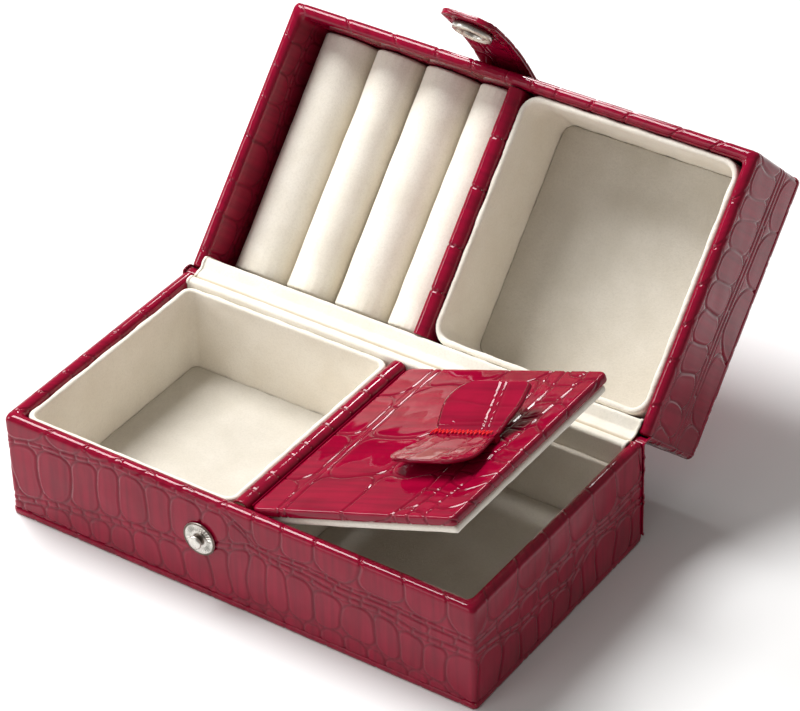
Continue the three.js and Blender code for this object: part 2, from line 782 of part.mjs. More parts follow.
// ---- The assembly ----

const studHole = snapHole(
  shankHoleRadius, -halfDepth - cutMargin, -halfDepth + wallThickness + cutMargin);

const strapGroup = turnedGroup([studX, strapHinge.y, strapHinge.z], [-1, 0, 0], strapRestAngle, [
  ...strapLayers(), snapCap(), snapSocket(),
]);

const lidGroup = turnedGroup([0, hingeY, hingeZ], [-1, 0, 0], lidOpenAngle, [
  ...halfPieces({
    half: 'lid', inner: 'ceiling', outer: 'top', toZ: lidDepthToZ, turnIn: lidTurnIn,
    boards: card, holes: [],
  }),
  ...lidPieces(), strapAnchor(), strapGroup,
]);

const frontLeaf = turnedGroup(
  [tabX, tabY - leafAxisOffset, leafAxisZ], [-1, 0, 0], frontLeafRestAngle,
  [tabLeaf('tab_front_leaf', frontLeafLength, -1)]);

const backLeaf = turnedGroup(
  [tabX, tabY + leafAxisOffset, leafAxisZ], [1, 0, 0], backLeafRestAngle,
  [tabLeaf('tab_back_leaf', backLeafLength, 1)]);

const flapGroup = turnedGroup(
  [flapHingeX, 0, baseDepthToZ(flapHingeDepth)], [0, -1, 0], flapRestAngle,
  [flapHingeStrip(), flapCover(), ...flapFilling(), flapLining(), tabRoot(), tabStitching(),
    frontLeaf, backLeaf]);

const jewelleryCase = new THREE.Group();
jewelleryCase.add(
  ...halfPieces({
    half: 'base', inner: 'floor', outer: 'foot', toZ: baseDepthToZ, turnIn: baseTurnIn,
    boards: fibreboard, holes: [studHole],
  }),
  ...basePieces(), snapStud(), snapStudRivet(), flapGroup, lidGroup);

export default jewelleryCase;
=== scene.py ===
"""Leather jewellery case: the looks of every piece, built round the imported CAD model.

Metres, +Z up. Lid, flap, strap and tab are drawn as they lie when the case is shut,
and then turned open about the frame's own joints.
"""

import json
import math

import bpy
import numpy as np
from mathutils import Matrix, Vector


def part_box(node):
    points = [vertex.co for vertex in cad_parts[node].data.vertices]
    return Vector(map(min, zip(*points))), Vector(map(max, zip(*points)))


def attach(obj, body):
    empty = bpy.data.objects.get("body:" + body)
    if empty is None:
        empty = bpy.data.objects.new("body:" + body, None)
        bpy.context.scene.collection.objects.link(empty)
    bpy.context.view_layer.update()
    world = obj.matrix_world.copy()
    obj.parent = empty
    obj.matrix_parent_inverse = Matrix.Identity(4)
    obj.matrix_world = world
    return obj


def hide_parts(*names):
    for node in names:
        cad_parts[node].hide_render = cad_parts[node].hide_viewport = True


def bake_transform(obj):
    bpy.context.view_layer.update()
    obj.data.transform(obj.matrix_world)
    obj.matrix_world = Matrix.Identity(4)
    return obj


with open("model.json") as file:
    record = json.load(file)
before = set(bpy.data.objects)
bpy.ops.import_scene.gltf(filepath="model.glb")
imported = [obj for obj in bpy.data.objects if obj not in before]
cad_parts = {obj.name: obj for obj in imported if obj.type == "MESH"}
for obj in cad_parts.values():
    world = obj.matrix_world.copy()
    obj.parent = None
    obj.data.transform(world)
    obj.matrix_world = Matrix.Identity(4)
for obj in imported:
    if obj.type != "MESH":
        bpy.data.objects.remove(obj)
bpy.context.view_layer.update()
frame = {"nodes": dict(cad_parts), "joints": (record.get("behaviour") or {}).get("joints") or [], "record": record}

MM = 0.001
joints = {joint["name"]: joint for joint in frame["joints"]}


# ---- Places from the frame ----

def turn_about(joint_name, degrees):
    """The matrix that turns a point about a joint's line."""
    joint = joints[joint_name]
    pivot = Vector(joint["pos_m"])
    turn = Matrix.Rotation(math.radians(degrees), 4, Vector(joint["axis"]))
    return Matrix.Translation(pivot) @ turn @ Matrix.Translation(-pivot)


def opening(joint_name):
    """How far a joint has been opened at rest, in degrees from its low limit."""
    return -joints[joint_name]["range_deg"][0]


base_place = Matrix.Identity(4)
lid_place = turn_about("lid_hinge", opening("lid_hinge"))
flap_place = turn_about("flap_lift", opening("flap_lift"))


def shut_box(node, place):
    """A node's lowest and highest corners with the case shut."""
    points = np.array([vertex.co for vertex in frame["nodes"][node].data.vertices])
    back = np.array(place.inverted())
    shut = points @ back[:3, :3].T + back[:3, 3]
    return Vector(shut.min(0)), Vector(shut.max(0))


base_low, base_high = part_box("base_leather_wrap")
lid_low, _ = shut_box("lid_leather_wrap", lid_place)

HALF_X = base_high.x
HALF_Y = -base_low.y
RIM_Z = base_high.z
LID_RIM_Z = lid_low.z
WALL_DEPTH = RIM_Z - base_low.z
CORNER = 1.7 * MM
INNER_CORNER = 2 * MM
BACK_CORNER = 0.8 * MM
TIGHTEST = 0.4 * MM
WALL_END = HALF_Y - 0.5 * MM
SEAT_GAP = 0.3 * MM
WALL = HALF_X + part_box("left_tray_lining")[0].x - SEAT_GAP
CORNER_STEPS = 6
TINY = 1e-12


def base_height(depth):
    """The height of a point some way down inside the base's rim."""
    return RIM_Z - depth


def lid_height(depth):
    """The same in the shut lid, where depth runs upwards."""
    return LID_RIM_Z + depth


# ---- Arrays of points ----

def line(start, end, count):
    """Evenly spaced points from start up to, but not including, end."""
    start, end = np.array(start, float), np.array(end, float)
    return start + (end - start) * (np.arange(count) / count)[:, None]


def count_along(length, spacing):
    """How many points a stretch needs."""
    return max(1, round(abs(length) / spacing))


def arc(centre, radius, start, end, steps):
    """Points round an arc, by angles in degrees, without the last one."""
    angles = np.radians(start + (end - start) * np.arange(steps) / steps)
    turned = np.stack([np.cos(angles), np.sin(angles)], 1)
    return np.array(centre, float) + radius * turned


def path(*stretches):
    """Stretches joined into one path, and the distance along it."""
    points = np.concatenate([np.atleast_2d(stretch) for stretch in stretches])
    steps = np.linalg.norm(np.diff(points, axis=0), axis=1)
    return points, np.concatenate([[0.0], np.cumsum(steps)])


def three_wall_loop(inset, spacing):
    """The left, front and right walls at an inset, as one open path."""
    radius = CORNER + (INNER_CORNER - CORNER) * inset / WALL
    x, y = HALF_X - inset, HALF_Y - inset
    sides = count_along(2 * HALF_Y, spacing)
    return path(
        line((-x, WALL_END), (-x, -y + radius), sides),
        arc((-x + radius, -y + radius), radius, 180, 270, CORNER_STEPS),
        line((-x + radius, -y), (x - radius, -y), count_along(2 * HALF_X, spacing)),
        arc((x - radius, -y + radius), radius, 270, 360, CORNER_STEPS),
        line((x, -y + radius), (x, WALL_END), sides),
        (x, WALL_END))


def closed_loop(low, high, inset, radius, spacing):
    """A rounded rectangle at an inset, as a closed path."""
    steps = 8
    turn = max(radius - inset, TIGHTEST)
    x0, y0, x1, y1 = low[0] + inset, low[1] + inset, high[0] - inset, high[1] - inset
    wide = count_along(high[0] - low[0], spacing)
    deep = count_along(high[1] - low[1], spacing)
    return path(
        line((x0 + turn, y0), (x1 - turn, y0), wide),
        arc((x1 - turn, y0 + turn), turn, 270, 360, steps),
        line((x1, y0 + turn), (x1, y1 - turn), deep),
        arc((x1 - turn, y1 - turn), turn, 0, 90, steps),
        line((x1 - turn, y1), (x0 + turn, y1), wide),
        arc((x0 + turn, y1 - turn), turn, 90, 180, steps),
        line((x0, y1 - turn), (x0, y0 + turn), deep),
        arc((x0 + turn, y0 + turn), turn, 180, 270, steps))


def stacked(loops, heights):
    """A grid from loops of as many (x, y) points, each loop at a height of its own."""
    flat = np.array([loop for loop, _ in loops]).transpose(1, 0, 2)
    up = np.broadcast_to(heights, flat.shape[:2])
    return np.concatenate([flat, up[..., None]], 2)


def normals_of(points, closed):
    """The unit normal at each point of a grid, which may close along its rows."""
    if closed:
        along = np.roll(points, -1, 0) - np.roll(points, 1, 0)
    else:
        along = np.gradient(points, axis=0)
    across = np.gradient(points, axis=1)
    normal = np.cross(along, across)
    return normal / np.maximum(np.linalg.norm(normal, axis=2, keepdims=True), TINY)


def moved(points, place):
    """Points turned and shifted by a matrix."""
    matrix = np.array(place)
    return points @ matrix[:3, :3].T + matrix[:3, 3]


def smooth_step(x):
    """0 below 0, 1 above 1, and smooth in between."""
    x = np.clip(x, 0, 1)
    return x * x * (3 - 2 * x)


def wander(u, v, wavelength, seed):
    """Smooth noise, about -1 to 1, from a few seeded waves."""
    random = np.random.default_rng(seed)
    total = np.zeros(np.broadcast(u, v).shape)
    waves = 5
    for _ in range(waves):
        heading, phase = random.uniform(0, 2 * math.pi, 2)
        rate = 2 * math.pi * random.uniform(0.6, 1.5) / wavelength
        total += np.sin(rate * (u * math.cos(heading) + v * math.sin(heading)) + phase)
    return total / math.sqrt(2 * waves)


# ---- Croc embossing ----

GROOVE_DEPTH = 0.2 * MM
GROOVE_WIDTH = 0.3 * MM
VALLEY_DEPTH = 0.05 * MM
VALLEY_WIDTH = 0.9 * MM
LIP = 0.08 * MM
LIP_PLACE = 2.6 * GROOVE_WIDTH
CROWN = 0.08 * MM
CROWN_REACH = 3 * MM
WAVINESS = 0.03 * MM


def edge_at(edge, u):
    """A row's edge at each u: the same all along, or through (u, v) points."""
    if isinstance(edge, (int, float)):
        return np.full(u.shape, float(edge))
    along, across = zip(*edge)
    return np.interp(u, along, across)


def straight_rows(start, end, *rows):
    """Rows of (height, scale length), repeated from start to end, as (edge, length)."""
    edges, row = [], 0
    while start < end:
        height, length = rows[row % len(rows)]
        edges.append((start, length))
        start += height
        row += 1
    return [*edges, (start, None)]


def inside_scale(u, v, rows, seed, rounding):
    """How far each point lies inside its scale. A row is (its lower edge, its scales' length)."""
    random = np.random.default_rng(seed)
    inside = np.full(u.shape, CROWN_REACH)
    for (low_edge, length), (high_edge, _) in zip(rows, rows[1:]):
        cuts = [u.min() - random.uniform(0.2, 1) * length]
        while cuts[-1] < u.max():
            cuts.append(cuts[-1] + length * random.uniform(0.8, 1.2))
        cuts = np.array(cuts)
        low, high = edge_at(low_edge, u), edge_at(high_edge, u)
        here = (v >= low) & (v < high)
        slot = np.clip(np.searchsorted(cuts, u[here]), 1, len(cuts) - 1)
        half_u = (cuts[slot] - cuts[slot - 1]) / 2
        middle_u = (cuts[slot] + cuts[slot - 1]) / 2
        half_v = (high - low)[here] / 2
        middle_v = (high + low)[here] / 2
        corner = rounding * 2 * np.minimum(half_u, half_v)
        x = np.abs(u[here] - middle_u) - half_u + corner
        y = np.abs(v[here] - middle_v) - half_v + corner
        outside = np.hypot(np.maximum(x, 0), np.maximum(y, 0)) - corner
        inside[here] = -(outside + np.minimum(np.maximum(x, y), 0))
    return inside


def croc(u, v, rows, seed, depth=GROOVE_DEPTH, rounding=0.4, sway=0.9 * MM):
    """The embossing's height, and how deep in a crease each point is, from 0 to 1, as painted shade."""
    along = u + sway * (wander(u, v, 22 * MM, seed + 1) + 3 * wander(u, v, 75 * MM, seed + 4))
    across = v + 0.6 * sway * wander(u, v, 30 * MM, seed + 2)
    inside = inside_scale(along, across, rows, seed, rounding)
    groove = np.exp(-(inside / GROOVE_WIDTH) ** 2)
    valley = np.exp(-(inside / VALLEY_WIDTH) ** 2)
    lip = LIP * np.exp(-((inside - LIP_PLACE) / GROOVE_WIDTH) ** 2)
    crown = CROWN * np.clip(inside / CROWN_REACH, 0, 1) ** 0.5
    waviness = WAVINESS * (wander(u, v, 9 * MM, seed + 3) - 1)
    height = crown + lip - GROOVE_DEPTH * groove - VALLEY_DEPTH * valley - CROWN
    share = depth / GROOVE_DEPTH
    return height * share + waviness, (0.6 * groove + 0.4 * valley) * np.minimum(share, 1)


# ---- Meshes ----

def grid_piece(name, points, material, closed=False, cap=False, **attributes):
    """A mesh over a grid of points, which may close along its rows and be capped."""
    rows, columns = points.shape[:2]
    index = np.arange(rows * columns).reshape(rows, columns)
    below = np.roll(index, -1, 0) if closed else index[1:]
    above = index if closed else index[:-1]
    quads = np.stack([above[:, :-1], below[:, :-1], below[:, 1:], above[:, 1:]], 2)
    faces = quads.reshape(-1, 4).tolist()
    if cap:
        faces.append(index[:, -1].tolist())
        faces.append(index[::-1, 0].tolist())
    mesh = bpy.data.meshes.new(name)
    mesh.from_pydata(points.reshape(-1, 3).tolist(), [], faces)
    for key, values in attributes.items():
        kind, field = ("FLOAT", "value") if values.ndim == 2 else ("FLOAT_VECTOR", "vector")
        attribute = mesh.attributes.new(key, kind, "POINT")
        attribute.data.foreach_set(field, values.astype(np.float32).ravel())
    mesh.shade_smooth()
    mesh.materials.append(material)
    piece = bpy.data.objects.new(name, mesh)
    bpy.context.scene.collection.objects.link(piece)
    return piece


def thicken(piece, thickness):
    """Gives an open sheet a back face."""
    solid = piece.modifiers.new("thickness", "SOLIDIFY")
    solid.thickness = thickness
    solid.offset = -1


def leather_piece(name, points, u, v, rows, seed, place, **embossing):
    """An embossed leather skin over a grid of points."""
    height, crease = croc(u, v, rows, seed, **embossing)
    raised = points + normals_of(points, False) * height[..., None]
    flat = np.stack([u, v, 0 * u], 2)
    return grid_piece(name, moved(raised, place), patent_leather, crease=crease, flat=flat)


def ride(piece, body, *nodes, slot):
    """A piece moves with a body and stands for the CAD nodes."""
    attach(piece, body)
    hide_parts(*nodes)


def bend_between(piece, first, second, start, end, *nodes, slot):
    """A piece that reaches from one body to another keeps its points where they lie, and stands for the CAD nodes.
    """
    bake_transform(piece)
    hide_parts(*nodes)


# ---- Materials ----

def new_material(name):
    """A material, its node tree's maker and its Principled shader."""
    material = bpy.data.materials.new(name)
    material.use_nodes = True
    tree = material.node_tree
    shader = tree.nodes["Principled BSDF"]
    return material, tree, shader


def set_inputs(node, **inputs):
    """Sets some of a node's inputs, named with _ for each space."""
    for name, value in inputs.items():
        node.inputs[name.replace("_", " ")].default_value = value


def add(tree, kind, **inputs):
    """A shader node with some of its inputs set."""
    node = tree.nodes.new(kind)
    set_inputs(node, **inputs)
    return node


def stored(tree, name, output="Fac"):
    """A value kept on the points of the mesh."""
    node = tree.nodes.new("ShaderNodeAttribute")
    node.attribute_name = name
    return node.outputs[output]


def noise(tree, scale, detail=3.0, roughness=0.55, stretch=(1, 1, 1), place=None):
    """Noise in object space, or over another place, which may be stretched along an axis."""
    place = place or add(tree, "ShaderNodeTexCoord").outputs["Object"]
    mapping = add(tree, "ShaderNodeMapping", Scale=stretch)
    texture = add(tree, "ShaderNodeTexNoise", Scale=scale, Detail=detail, Roughness=roughness)
    tree.links.new(place, mapping.inputs["Vector"])
    tree.links.new(mapping.outputs["Vector"], texture.inputs["Vector"])
    return texture.outputs["Fac"]


def flat_noise(tree, scale, stretch=(1, 1, 1), detail=3.0):
    """Noise over the flat leather, before it was wrapped."""
    return noise(tree, scale, detail, 0.5, stretch, stored(tree, "flat", "Vector"))


def ramp(tree, source, dark, light, start=0.3, end=0.7):
    """A source between start and end, as colours from dark to light."""
    node = tree.nodes.new("ShaderNodeValToRGB")
    stops = zip(node.color_ramp.elements, (start, end), (dark, light))
    for element, position, colour in stops:
        element.position = position
        element.color = (*colour, 1)
    tree.links.new(source, node.inputs["Fac"])
    return node.outputs["Color"]


def spread(tree, source, low, high, start=0.3, end=0.7):
    """A source between start and end, spread over low to high."""
    node = add(tree, "ShaderNodeMapRange", From_Min=start, From_Max=end, To_Min=low, To_Max=high)
    tree.links.new(source, node.inputs["Value"])
    return node.outputs["Result"]


def mix(tree, amount, first, second):
    """Two colours mixed by an amount."""
    node = tree.nodes.new("ShaderNodeMix")
    node.data_type = "RGBA"
    for value, socket in ((amount, "Factor"), (first, "A"), (second, "B")):
        target = next(s for s in node.inputs if s.name == socket and s.enabled)
        if isinstance(value, bpy.types.NodeSocket):
            tree.links.new(value, target)
        else:
            target.default_value = value
    return next(s for s in node.outputs if s.enabled)


def bump(tree, shader, height, strength, distance, under=None):
    """A bump on the shader's normal, over an earlier one if there is one."""
    node = add(tree, "ShaderNodeBump", Strength=strength, Distance=distance)
    tree.links.new(height, node.inputs["Height"])
    if under is not None:
        tree.links.new(under, node.inputs["Normal"])
    tree.links.new(node.outputs["Normal"], shader.inputs["Normal"])
    return node.outputs["Normal"]


def surface(tree, shader, colour, roughness):
    """Links the shader's colour and roughness."""
    tree.links.new(colour, shader.inputs["Base Color"])
    tree.links.new(roughness, shader.inputs["Roughness"])


def make_patent_leather():
    """Deep red under a clear gloss, streaked across its scales, with painted shade in its creases."""
    material, tree, shader = new_material("patent_leather")
    streak_red, crease_shade_red = (0.11, 0.001, 0.014, 1), (0.09, 0.001, 0.009, 1)
    tone = ramp(tree, flat_noise(tree, 70), (0.235, 0.0012, 0.0195), (0.305, 0.002, 0.028))
    streaks = flat_noise(tree, 520, stretch=(1, 0.06, 1))
    streaked = mix(tree, spread(tree, streaks, 0.0, 0.42, 0.4, 0.68), tone, streak_red)
    # Painted shade: the creases darken towards a deep red.
    shade = spread(tree, stored(tree, "crease"), 0.0, 0.5, 0.15, 1.0)
    colour = mix(tree, shade, streaked, crease_shade_red)
    surface(tree, shader, colour, spread(tree, streaks, 0.45, 0.6))
    bump(tree, shader, flat_noise(tree, 420, detail=2), 0.08, 0.04 * MM)
    set_inputs(shader, Specular_IOR_Level=0.0, Coat_Weight=1.0, Coat_Roughness=0.04, Coat_IOR=1.36)
    return material


def make_velvet(name, dark, light):
    """Short cream pile, with fine flecks, faint brushed patches and painted tan shade in its creases."""
    material, tree, shader = new_material(name)
    fleck_colour, crease_shade_colour = (
        (*(part * share for part, share in zip(dark, shares)), 1)
        for shares in ((0.82, 0.82, 0.82), (0.5, 0.4, 0.27)))
    patches = ramp(tree, noise(tree, 90), dark, light)
    flecks = noise(tree, 1500, detail=6, roughness=0.75)
    speckled = mix(tree, spread(tree, flecks, 0.0, 0.45, 0.45, 0.7), patches, fleck_colour)
    # Painted shade: where the crease value is set, the pile darkens to a tan.
    crease_shade = spread(tree, stored(tree, "crease"), 0.0, 0.7, 0.1, 0.9)
    pile = noise(tree, 3800, detail=4, roughness=0.7)
    colour = mix(tree, crease_shade, speckled, crease_shade_colour)
    surface(tree, shader, colour, spread(tree, pile, 0.85, 1.0))
    felted = bump(tree, shader, flecks, 0.45, 0.25 * MM)
    bump(tree, shader, pile, 0.5, 0.15 * MM, under=felted)
    set_inputs(shader, Specular_IOR_Level=0.15, Sheen_Weight=0.2, Sheen_Roughness=0.5)
    return material


def make_nickel():
    """Bright nickel with fine polishing lines, and painted brown shade in its hollows."""
    material, tree, shader = new_material("nickel")
    metal_shade_brown = (0.07, 0.04, 0.025, 1)
    lines = noise(tree, 2600, detail=5)
    tone = ramp(tree, noise(tree, 800), (0.60, 0.575, 0.53), (0.76, 0.735, 0.69))
    colour = mix(tree, stored(tree, "tarnish"), tone, metal_shade_brown)
    surface(tree, shader, colour, spread(tree, lines, 0.24, 0.4))
    bump(tree, shader, lines, 0.06, 0.02 * MM)
    set_inputs(shader, Metallic=1.0)
    return material


def make_board(name, dark, light):
    """Pressed fibre board, with specks."""
    material, tree, shader = new_material(name)
    specks = noise(tree, 1400, detail=8, roughness=0.8)
    fibres = noise(tree, 2500, stretch=(1, 0.2, 1))
    surface(tree, shader, ramp(tree, specks, dark, light, 0.35, 0.65),
            spread(tree, fibres, 0.75, 0.95))
    bump(tree, shader, fibres, 0.3, 0.1 * MM)
    return material


def make_thread():
    """Bright red sewing thread."""
    material, tree, shader = new_material("red_thread")
    twist = noise(tree, 4000, stretch=(0.3, 1, 1))
    tone = ramp(tree, twist, (0.62, 0.003, 0.006), (0.95, 0.012, 0.02), 0.35, 0.65)
    surface(tree, shader, tone, spread(tree, twist, 0.45, 0.7))
    bump(tree, shader, twist, 0.5, 0.05 * MM)
    set_inputs(shader, Specular_IOR_Level=0.2)
    return material


patent_leather = make_patent_leather()
velvet = make_velvet("velvet", (0.86, 0.81, 0.70), (0.93, 0.89, 0.80))
tray_felt = make_velvet("tray_felt", (0.86, 0.80, 0.70), (0.92, 0.87, 0.78))
pad_felt = make_velvet("pad_felt", (0.59, 0.55, 0.475), (0.65, 0.61, 0.54))
nickel = make_nickel()
fibreboard = make_board("fibreboard", (0.22, 0.14, 0.08), (0.42, 0.30, 0.18))
greyboard = make_board("greyboard", (0.26, 0.23, 0.19), (0.46, 0.42, 0.36))
foam = make_board("foam", (0.58, 0.52, 0.42), (0.74, 0.68, 0.56))
red_thread = make_thread()

SLOT_MATERIALS = {
    "red_leather": patent_leather, "velvet": velvet, "nickel": nickel, "foam": foam,
    "fibreboard": fibreboard, "card": greyboard, "red_thread": red_thread,
}


def paint_cad_nodes():
    """Every CAD node gets the material of its slot in the record."""
    slots = {row["node"]: row["material_slot"] for row in frame["record"]["subparts"]}
    for name, node in frame["nodes"].items():
        node.data.materials.clear()
        node.data.materials.append(SLOT_MATERIALS[slots[name]])


# ---- The shell ----

SPACING = 0.32 * MM
BACK_SPACING = 0.45 * MM
RIM_RADIUS = 1.9 * MM
END_RADIUS = 0.8 * MM
SKIN = 0.5 * MM
CHAIN = 2.2 * MM
INSIDE = 40 * MM
FAR = 170
BACK_ROWS = ((11 * MM, 12 * MM), (CHAIN, 6 * MM), (13 * MM, 9.5 * MM), (1.5 * MM, 24 * MM))
PANEL_ROWS = ((15 * MM, 13 * MM), (16 * MM, 15 * MM), (2.4 * MM, 7 * MM), (12 * MM, 9 * MM))


def shifted(edge, shift):
    """A row's edge, moved across."""
    return [(u, v + shift) for u, v in edge]


def wall_edge(*points):
    """A row's edge on the walls, from its (along, depth) points in millimetres.

    Along runs from the middle of the front, to the left wall at -80 and the right one at 80,
    and FAR is past the ends of both. A negative depth is over the rim and down inside.
    """
    middle = HALF_X + HALF_Y + WALL_END - (2 - math.pi / 2) * CORNER
    return [(middle + along * MM, -depth * MM) for along, depth in points]


def base_rows():
    """Rows from the foot to the rim: chains of small scales wind between the large ones."""
    foot = wall_edge((-FAR, 40), (FAR, 40))
    small = wall_edge(
        (-FAR, 30), (-80, 32.5), (-10, 32.5), (15, 30), (38, 28), (60, 29.5), (80, 33), (100, 39),
        (FAR, 39))
    middle = wall_edge(
        (-FAR, 20), (-110, 24), (-80, 28), (-47, 22), (-32, 19.5), (-16, 19), (-6, 14.5), (5, 10),
        (15, 11.2), (32, 13.5), (49, 13.5), (61, 15.5), (80, 15), (104, 19.7), (126, 21.5),
        (140, 16), (166, 20))
    upper = wall_edge(
        (-FAR, 7), (-110, 13), (-80, 10), (-72, 8), (-57, 5.2), (-40, 2.8), (-16, 2.4), (-4, 2.9),
        (3, 6), (8, 10), (80, 12), (166, 15))
    rim = wall_edge((-FAR, -INSIDE / MM), (FAR, -INSIDE / MM))
    return [
        (foot, 7 * MM), (small, 8.6 * MM), (shifted(middle, -CHAIN), 5 * MM), (middle, 9 * MM),
        (shifted(upper, -0.2 * CHAIN), 5 * MM), (shifted(upper, 0.6 * CHAIN), 12.6 * MM),
        (rim, None)]


def lid_rows():
    """Rows of the lid: ovals beside the rim, then a double crease and long scales."""
    top = wall_edge((-FAR, 40), (FAR, 40))
    outer = wall_edge((-FAR, 24), (-80, 20), (0, 22), (80, 19.5), (166, 17))
    upper = wall_edge((-FAR, 3), (-80, 4), (0, 8), (80, 2.5), (166, 3))
    lining = wall_edge((-FAR, -13), (-130, -16), (-95, -11), (0, -14), (80, -12), (166, -15))
    floor = wall_edge((-FAR, -INSIDE / MM), (FAR, -INSIDE / MM))
    return [
        (top, 18 * MM), (shifted(outer, -2 * CHAIN), 24 * MM), (shifted(outer, -CHAIN), 30 * MM),
        (outer, 9 * MM), (upper, 12.6 * MM), (lining, 5 * MM), (shifted(lining, CHAIN), 8 * MM),
        (floor, None)]


def wall_section(turn_in):
    """Inset and depth up a wall's face, over its rim, down inside and back behind."""
    face, v = path(
        line((0, WALL_DEPTH), (0, RIM_RADIUS), count_along(WALL_DEPTH, SPACING)),
        arc((RIM_RADIUS, RIM_RADIUS), RIM_RADIUS, 180, 270, CORNER_STEPS),
        line((RIM_RADIUS, 0), (WALL - RIM_RADIUS, 0), 3),
        arc((WALL - RIM_RADIUS, RIM_RADIUS), RIM_RADIUS, 270, 360, CORNER_STEPS),
        line((WALL, RIM_RADIUS), (WALL, turn_in), count_along(turn_in, SPACING)),
        (WALL, turn_in))
    behind = np.array([
        (WALL - SKIN, turn_in), (WALL - SKIN, SKIN), (SKIN, SKIN), (SKIN, WALL_DEPTH), face[0]])
    return face, v - WALL_DEPTH, behind


def close_ends(grid, depths, height):
    """Adds a row at each end of the walls that draws the leather in to the wall's middle."""
    middle = HALF_X - WALL / 2
    z = height(np.maximum(depths, RIM_RADIUS))
    first, last = (
        np.stack([side * middle + 0 * z, WALL_END + 0 * z, z], 1)[None] for side in (-1, 1))
    return np.concatenate([first, grid, last])


def left_after_stretching(u, v, length):
    """The share of the embossing that is left where leather is pulled over a corner or a rim."""
    lost_at_corner, lost_at_rim = 0.4, 0.3
    corner_u = WALL_END + HALF_Y
    from_corner = np.minimum(np.abs(u - corner_u), np.abs(length - u - corner_u))
    at_corner = 1 - lost_at_corner * np.exp(-(from_corner / CORNER) ** 2)
    at_rim = 1 - lost_at_rim * np.exp(-(v / RIM_RADIUS) ** 2)
    return at_corner * at_rim


def wrap(half, height, place, turn_in, rows, seed):
    """The leather over the front and side walls of a half."""
    face, v, behind = wall_section(turn_in)
    section = np.concatenate([face, behind])
    depths = section[:, 1]
    loops = [three_wall_loop(inset, SPACING) for inset, _ in section]
    u = loops[0][1]
    grid = stacked(loops, height(depths))
    rounded = np.clip(1 - np.minimum(u, u[-1] - u) / END_RADIUS, 0, 1)
    sink = END_RADIUS * (1 - np.sqrt(1 - rounded ** 2))
    near_rim = np.exp(-np.maximum(depths - RIM_RADIUS, 0) / RIM_RADIUS)
    grid[:, :, 2] += (height(1) - height(0)) * sink[:, None] * near_rim
    grid = close_ends(grid, depths, height)
    u_grid, v_grid = np.meshgrid(
        np.concatenate([[-WALL / 2], u, [u[-1] + WALL / 2]]),
        np.concatenate([v, np.full(len(behind), v[-1])]), indexing="ij")
    depth = GROOVE_DEPTH * left_after_stretching(u_grid, v_grid, u[-1])
    embossing, crease = croc(u_grid, v_grid, rows, seed, depth=depth)
    embossing[:, len(face) - 1:] = 0
    embossing[[0, -1]] = 0
    outward = normals_of(grid, False) * (1 if half == "base" else -1)
    grid = grid + outward * embossing[..., None]
    grid[:, -1] = grid[:, 0]
    flat = np.stack([u_grid, v_grid, 0 * u_grid], 2)
    if half == "lid":
        grid, crease, flat = grid[:, ::-1], crease[:, ::-1], flat[:, ::-1]
    piece = grid_piece(
        f"{half}_leather", moved(grid, place), patent_leather, crease=crease, flat=flat)
    ride(piece, half, f"{half}_leather_wrap", slot="red_leather")


def curve_between(start, start_handle, end_handle, end, steps):
    """A Bezier curve between two points, without the last one."""
    t = (np.arange(steps) / steps)[:, None]
    points = [np.array(point, float) for point in (start, start_handle, end_handle, end)]
    return ((1 - t) ** 3 * points[0] + 3 * (1 - t) ** 2 * t * points[1]
            + 3 * (1 - t) * t ** 2 * points[2] + t ** 3 * points[3])


def opened(y, height):
    """A point of the shut lid, as (y, z), where it lies at rest."""
    point = lid_place @ Vector((0, y, height))
    return np.array((point.y, point.z))


def across_hinge(profile, reach, edge, spacing):
    """A grid over a profile of (y, z), carried along X, with its ends rounded inwards."""
    turn = np.radians(np.linspace(0, 90, 6))[1:]
    past, dip = edge * np.sin(turn), edge * (1 - np.cos(turn))
    flat = np.linspace(-reach + edge, reach - edge, count_along(2 * reach, spacing))
    x = np.concatenate([(flat[0] - past)[::-1], flat, flat[-1] + past])
    inwards = np.concatenate([dip[::-1], 0 * flat, dip])
    direction = np.gradient(profile, axis=0)
    direction /= np.linalg.norm(direction, axis=1, keepdims=True)
    outward = np.stack([direction[:, 1], -direction[:, 0]], 1)
    grid = np.zeros((len(x), len(profile), 3))
    grid[:, :, 0] = x[:, None]
    grid[:, :, 1:] = profile[None] - outward[None] * inwards[:, None, None]
    return grid


def back_leather():
    """One skin up the base's back, over the hinge and down the lid's back."""
    fold_rise, handle = 1.2 * MM, 0.6 * MM
    base_top = (HALF_Y, RIM_Z - fold_rise)
    lid_top = opened(HALF_Y, LID_RIM_Z + fold_rise)
    lid_end = opened(HALF_Y, LID_RIM_Z + WALL_DEPTH)
    towards_lid = (lid_end - lid_top) / np.linalg.norm(lid_end - lid_top)
    wall_count = count_along(WALL_DEPTH, BACK_SPACING)
    profile, v = path(
        line((HALF_Y, base_low.z), base_top, wall_count),
        curve_between(base_top, np.add(base_top, (0, handle)), lid_top - handle * towards_lid,
                      lid_top, 10),
        line(lid_top, lid_end, wall_count),
        lid_end)
    grid = across_hinge(profile, HALF_X, BACK_CORNER, BACK_SPACING)
    u_grid, v_grid = np.meshgrid(grid[:, 0, 0], v, indexing="ij")
    rows = straight_rows(0, v[-1], *BACK_ROWS)
    piece = leather_piece("back_leather", grid, u_grid, v_grid, rows, 37, base_place)
    thicken(piece, SKIN)
    start = (0, base_top[0] + 0.1 * MM, base_top[1])
    end = (0, lid_top[0] - 0.3 * MM, base_top[1])
    bend_between(piece, "base", "lid", start, end, "base_back_leather", "lid_back_leather",
                 slot="red_leather")


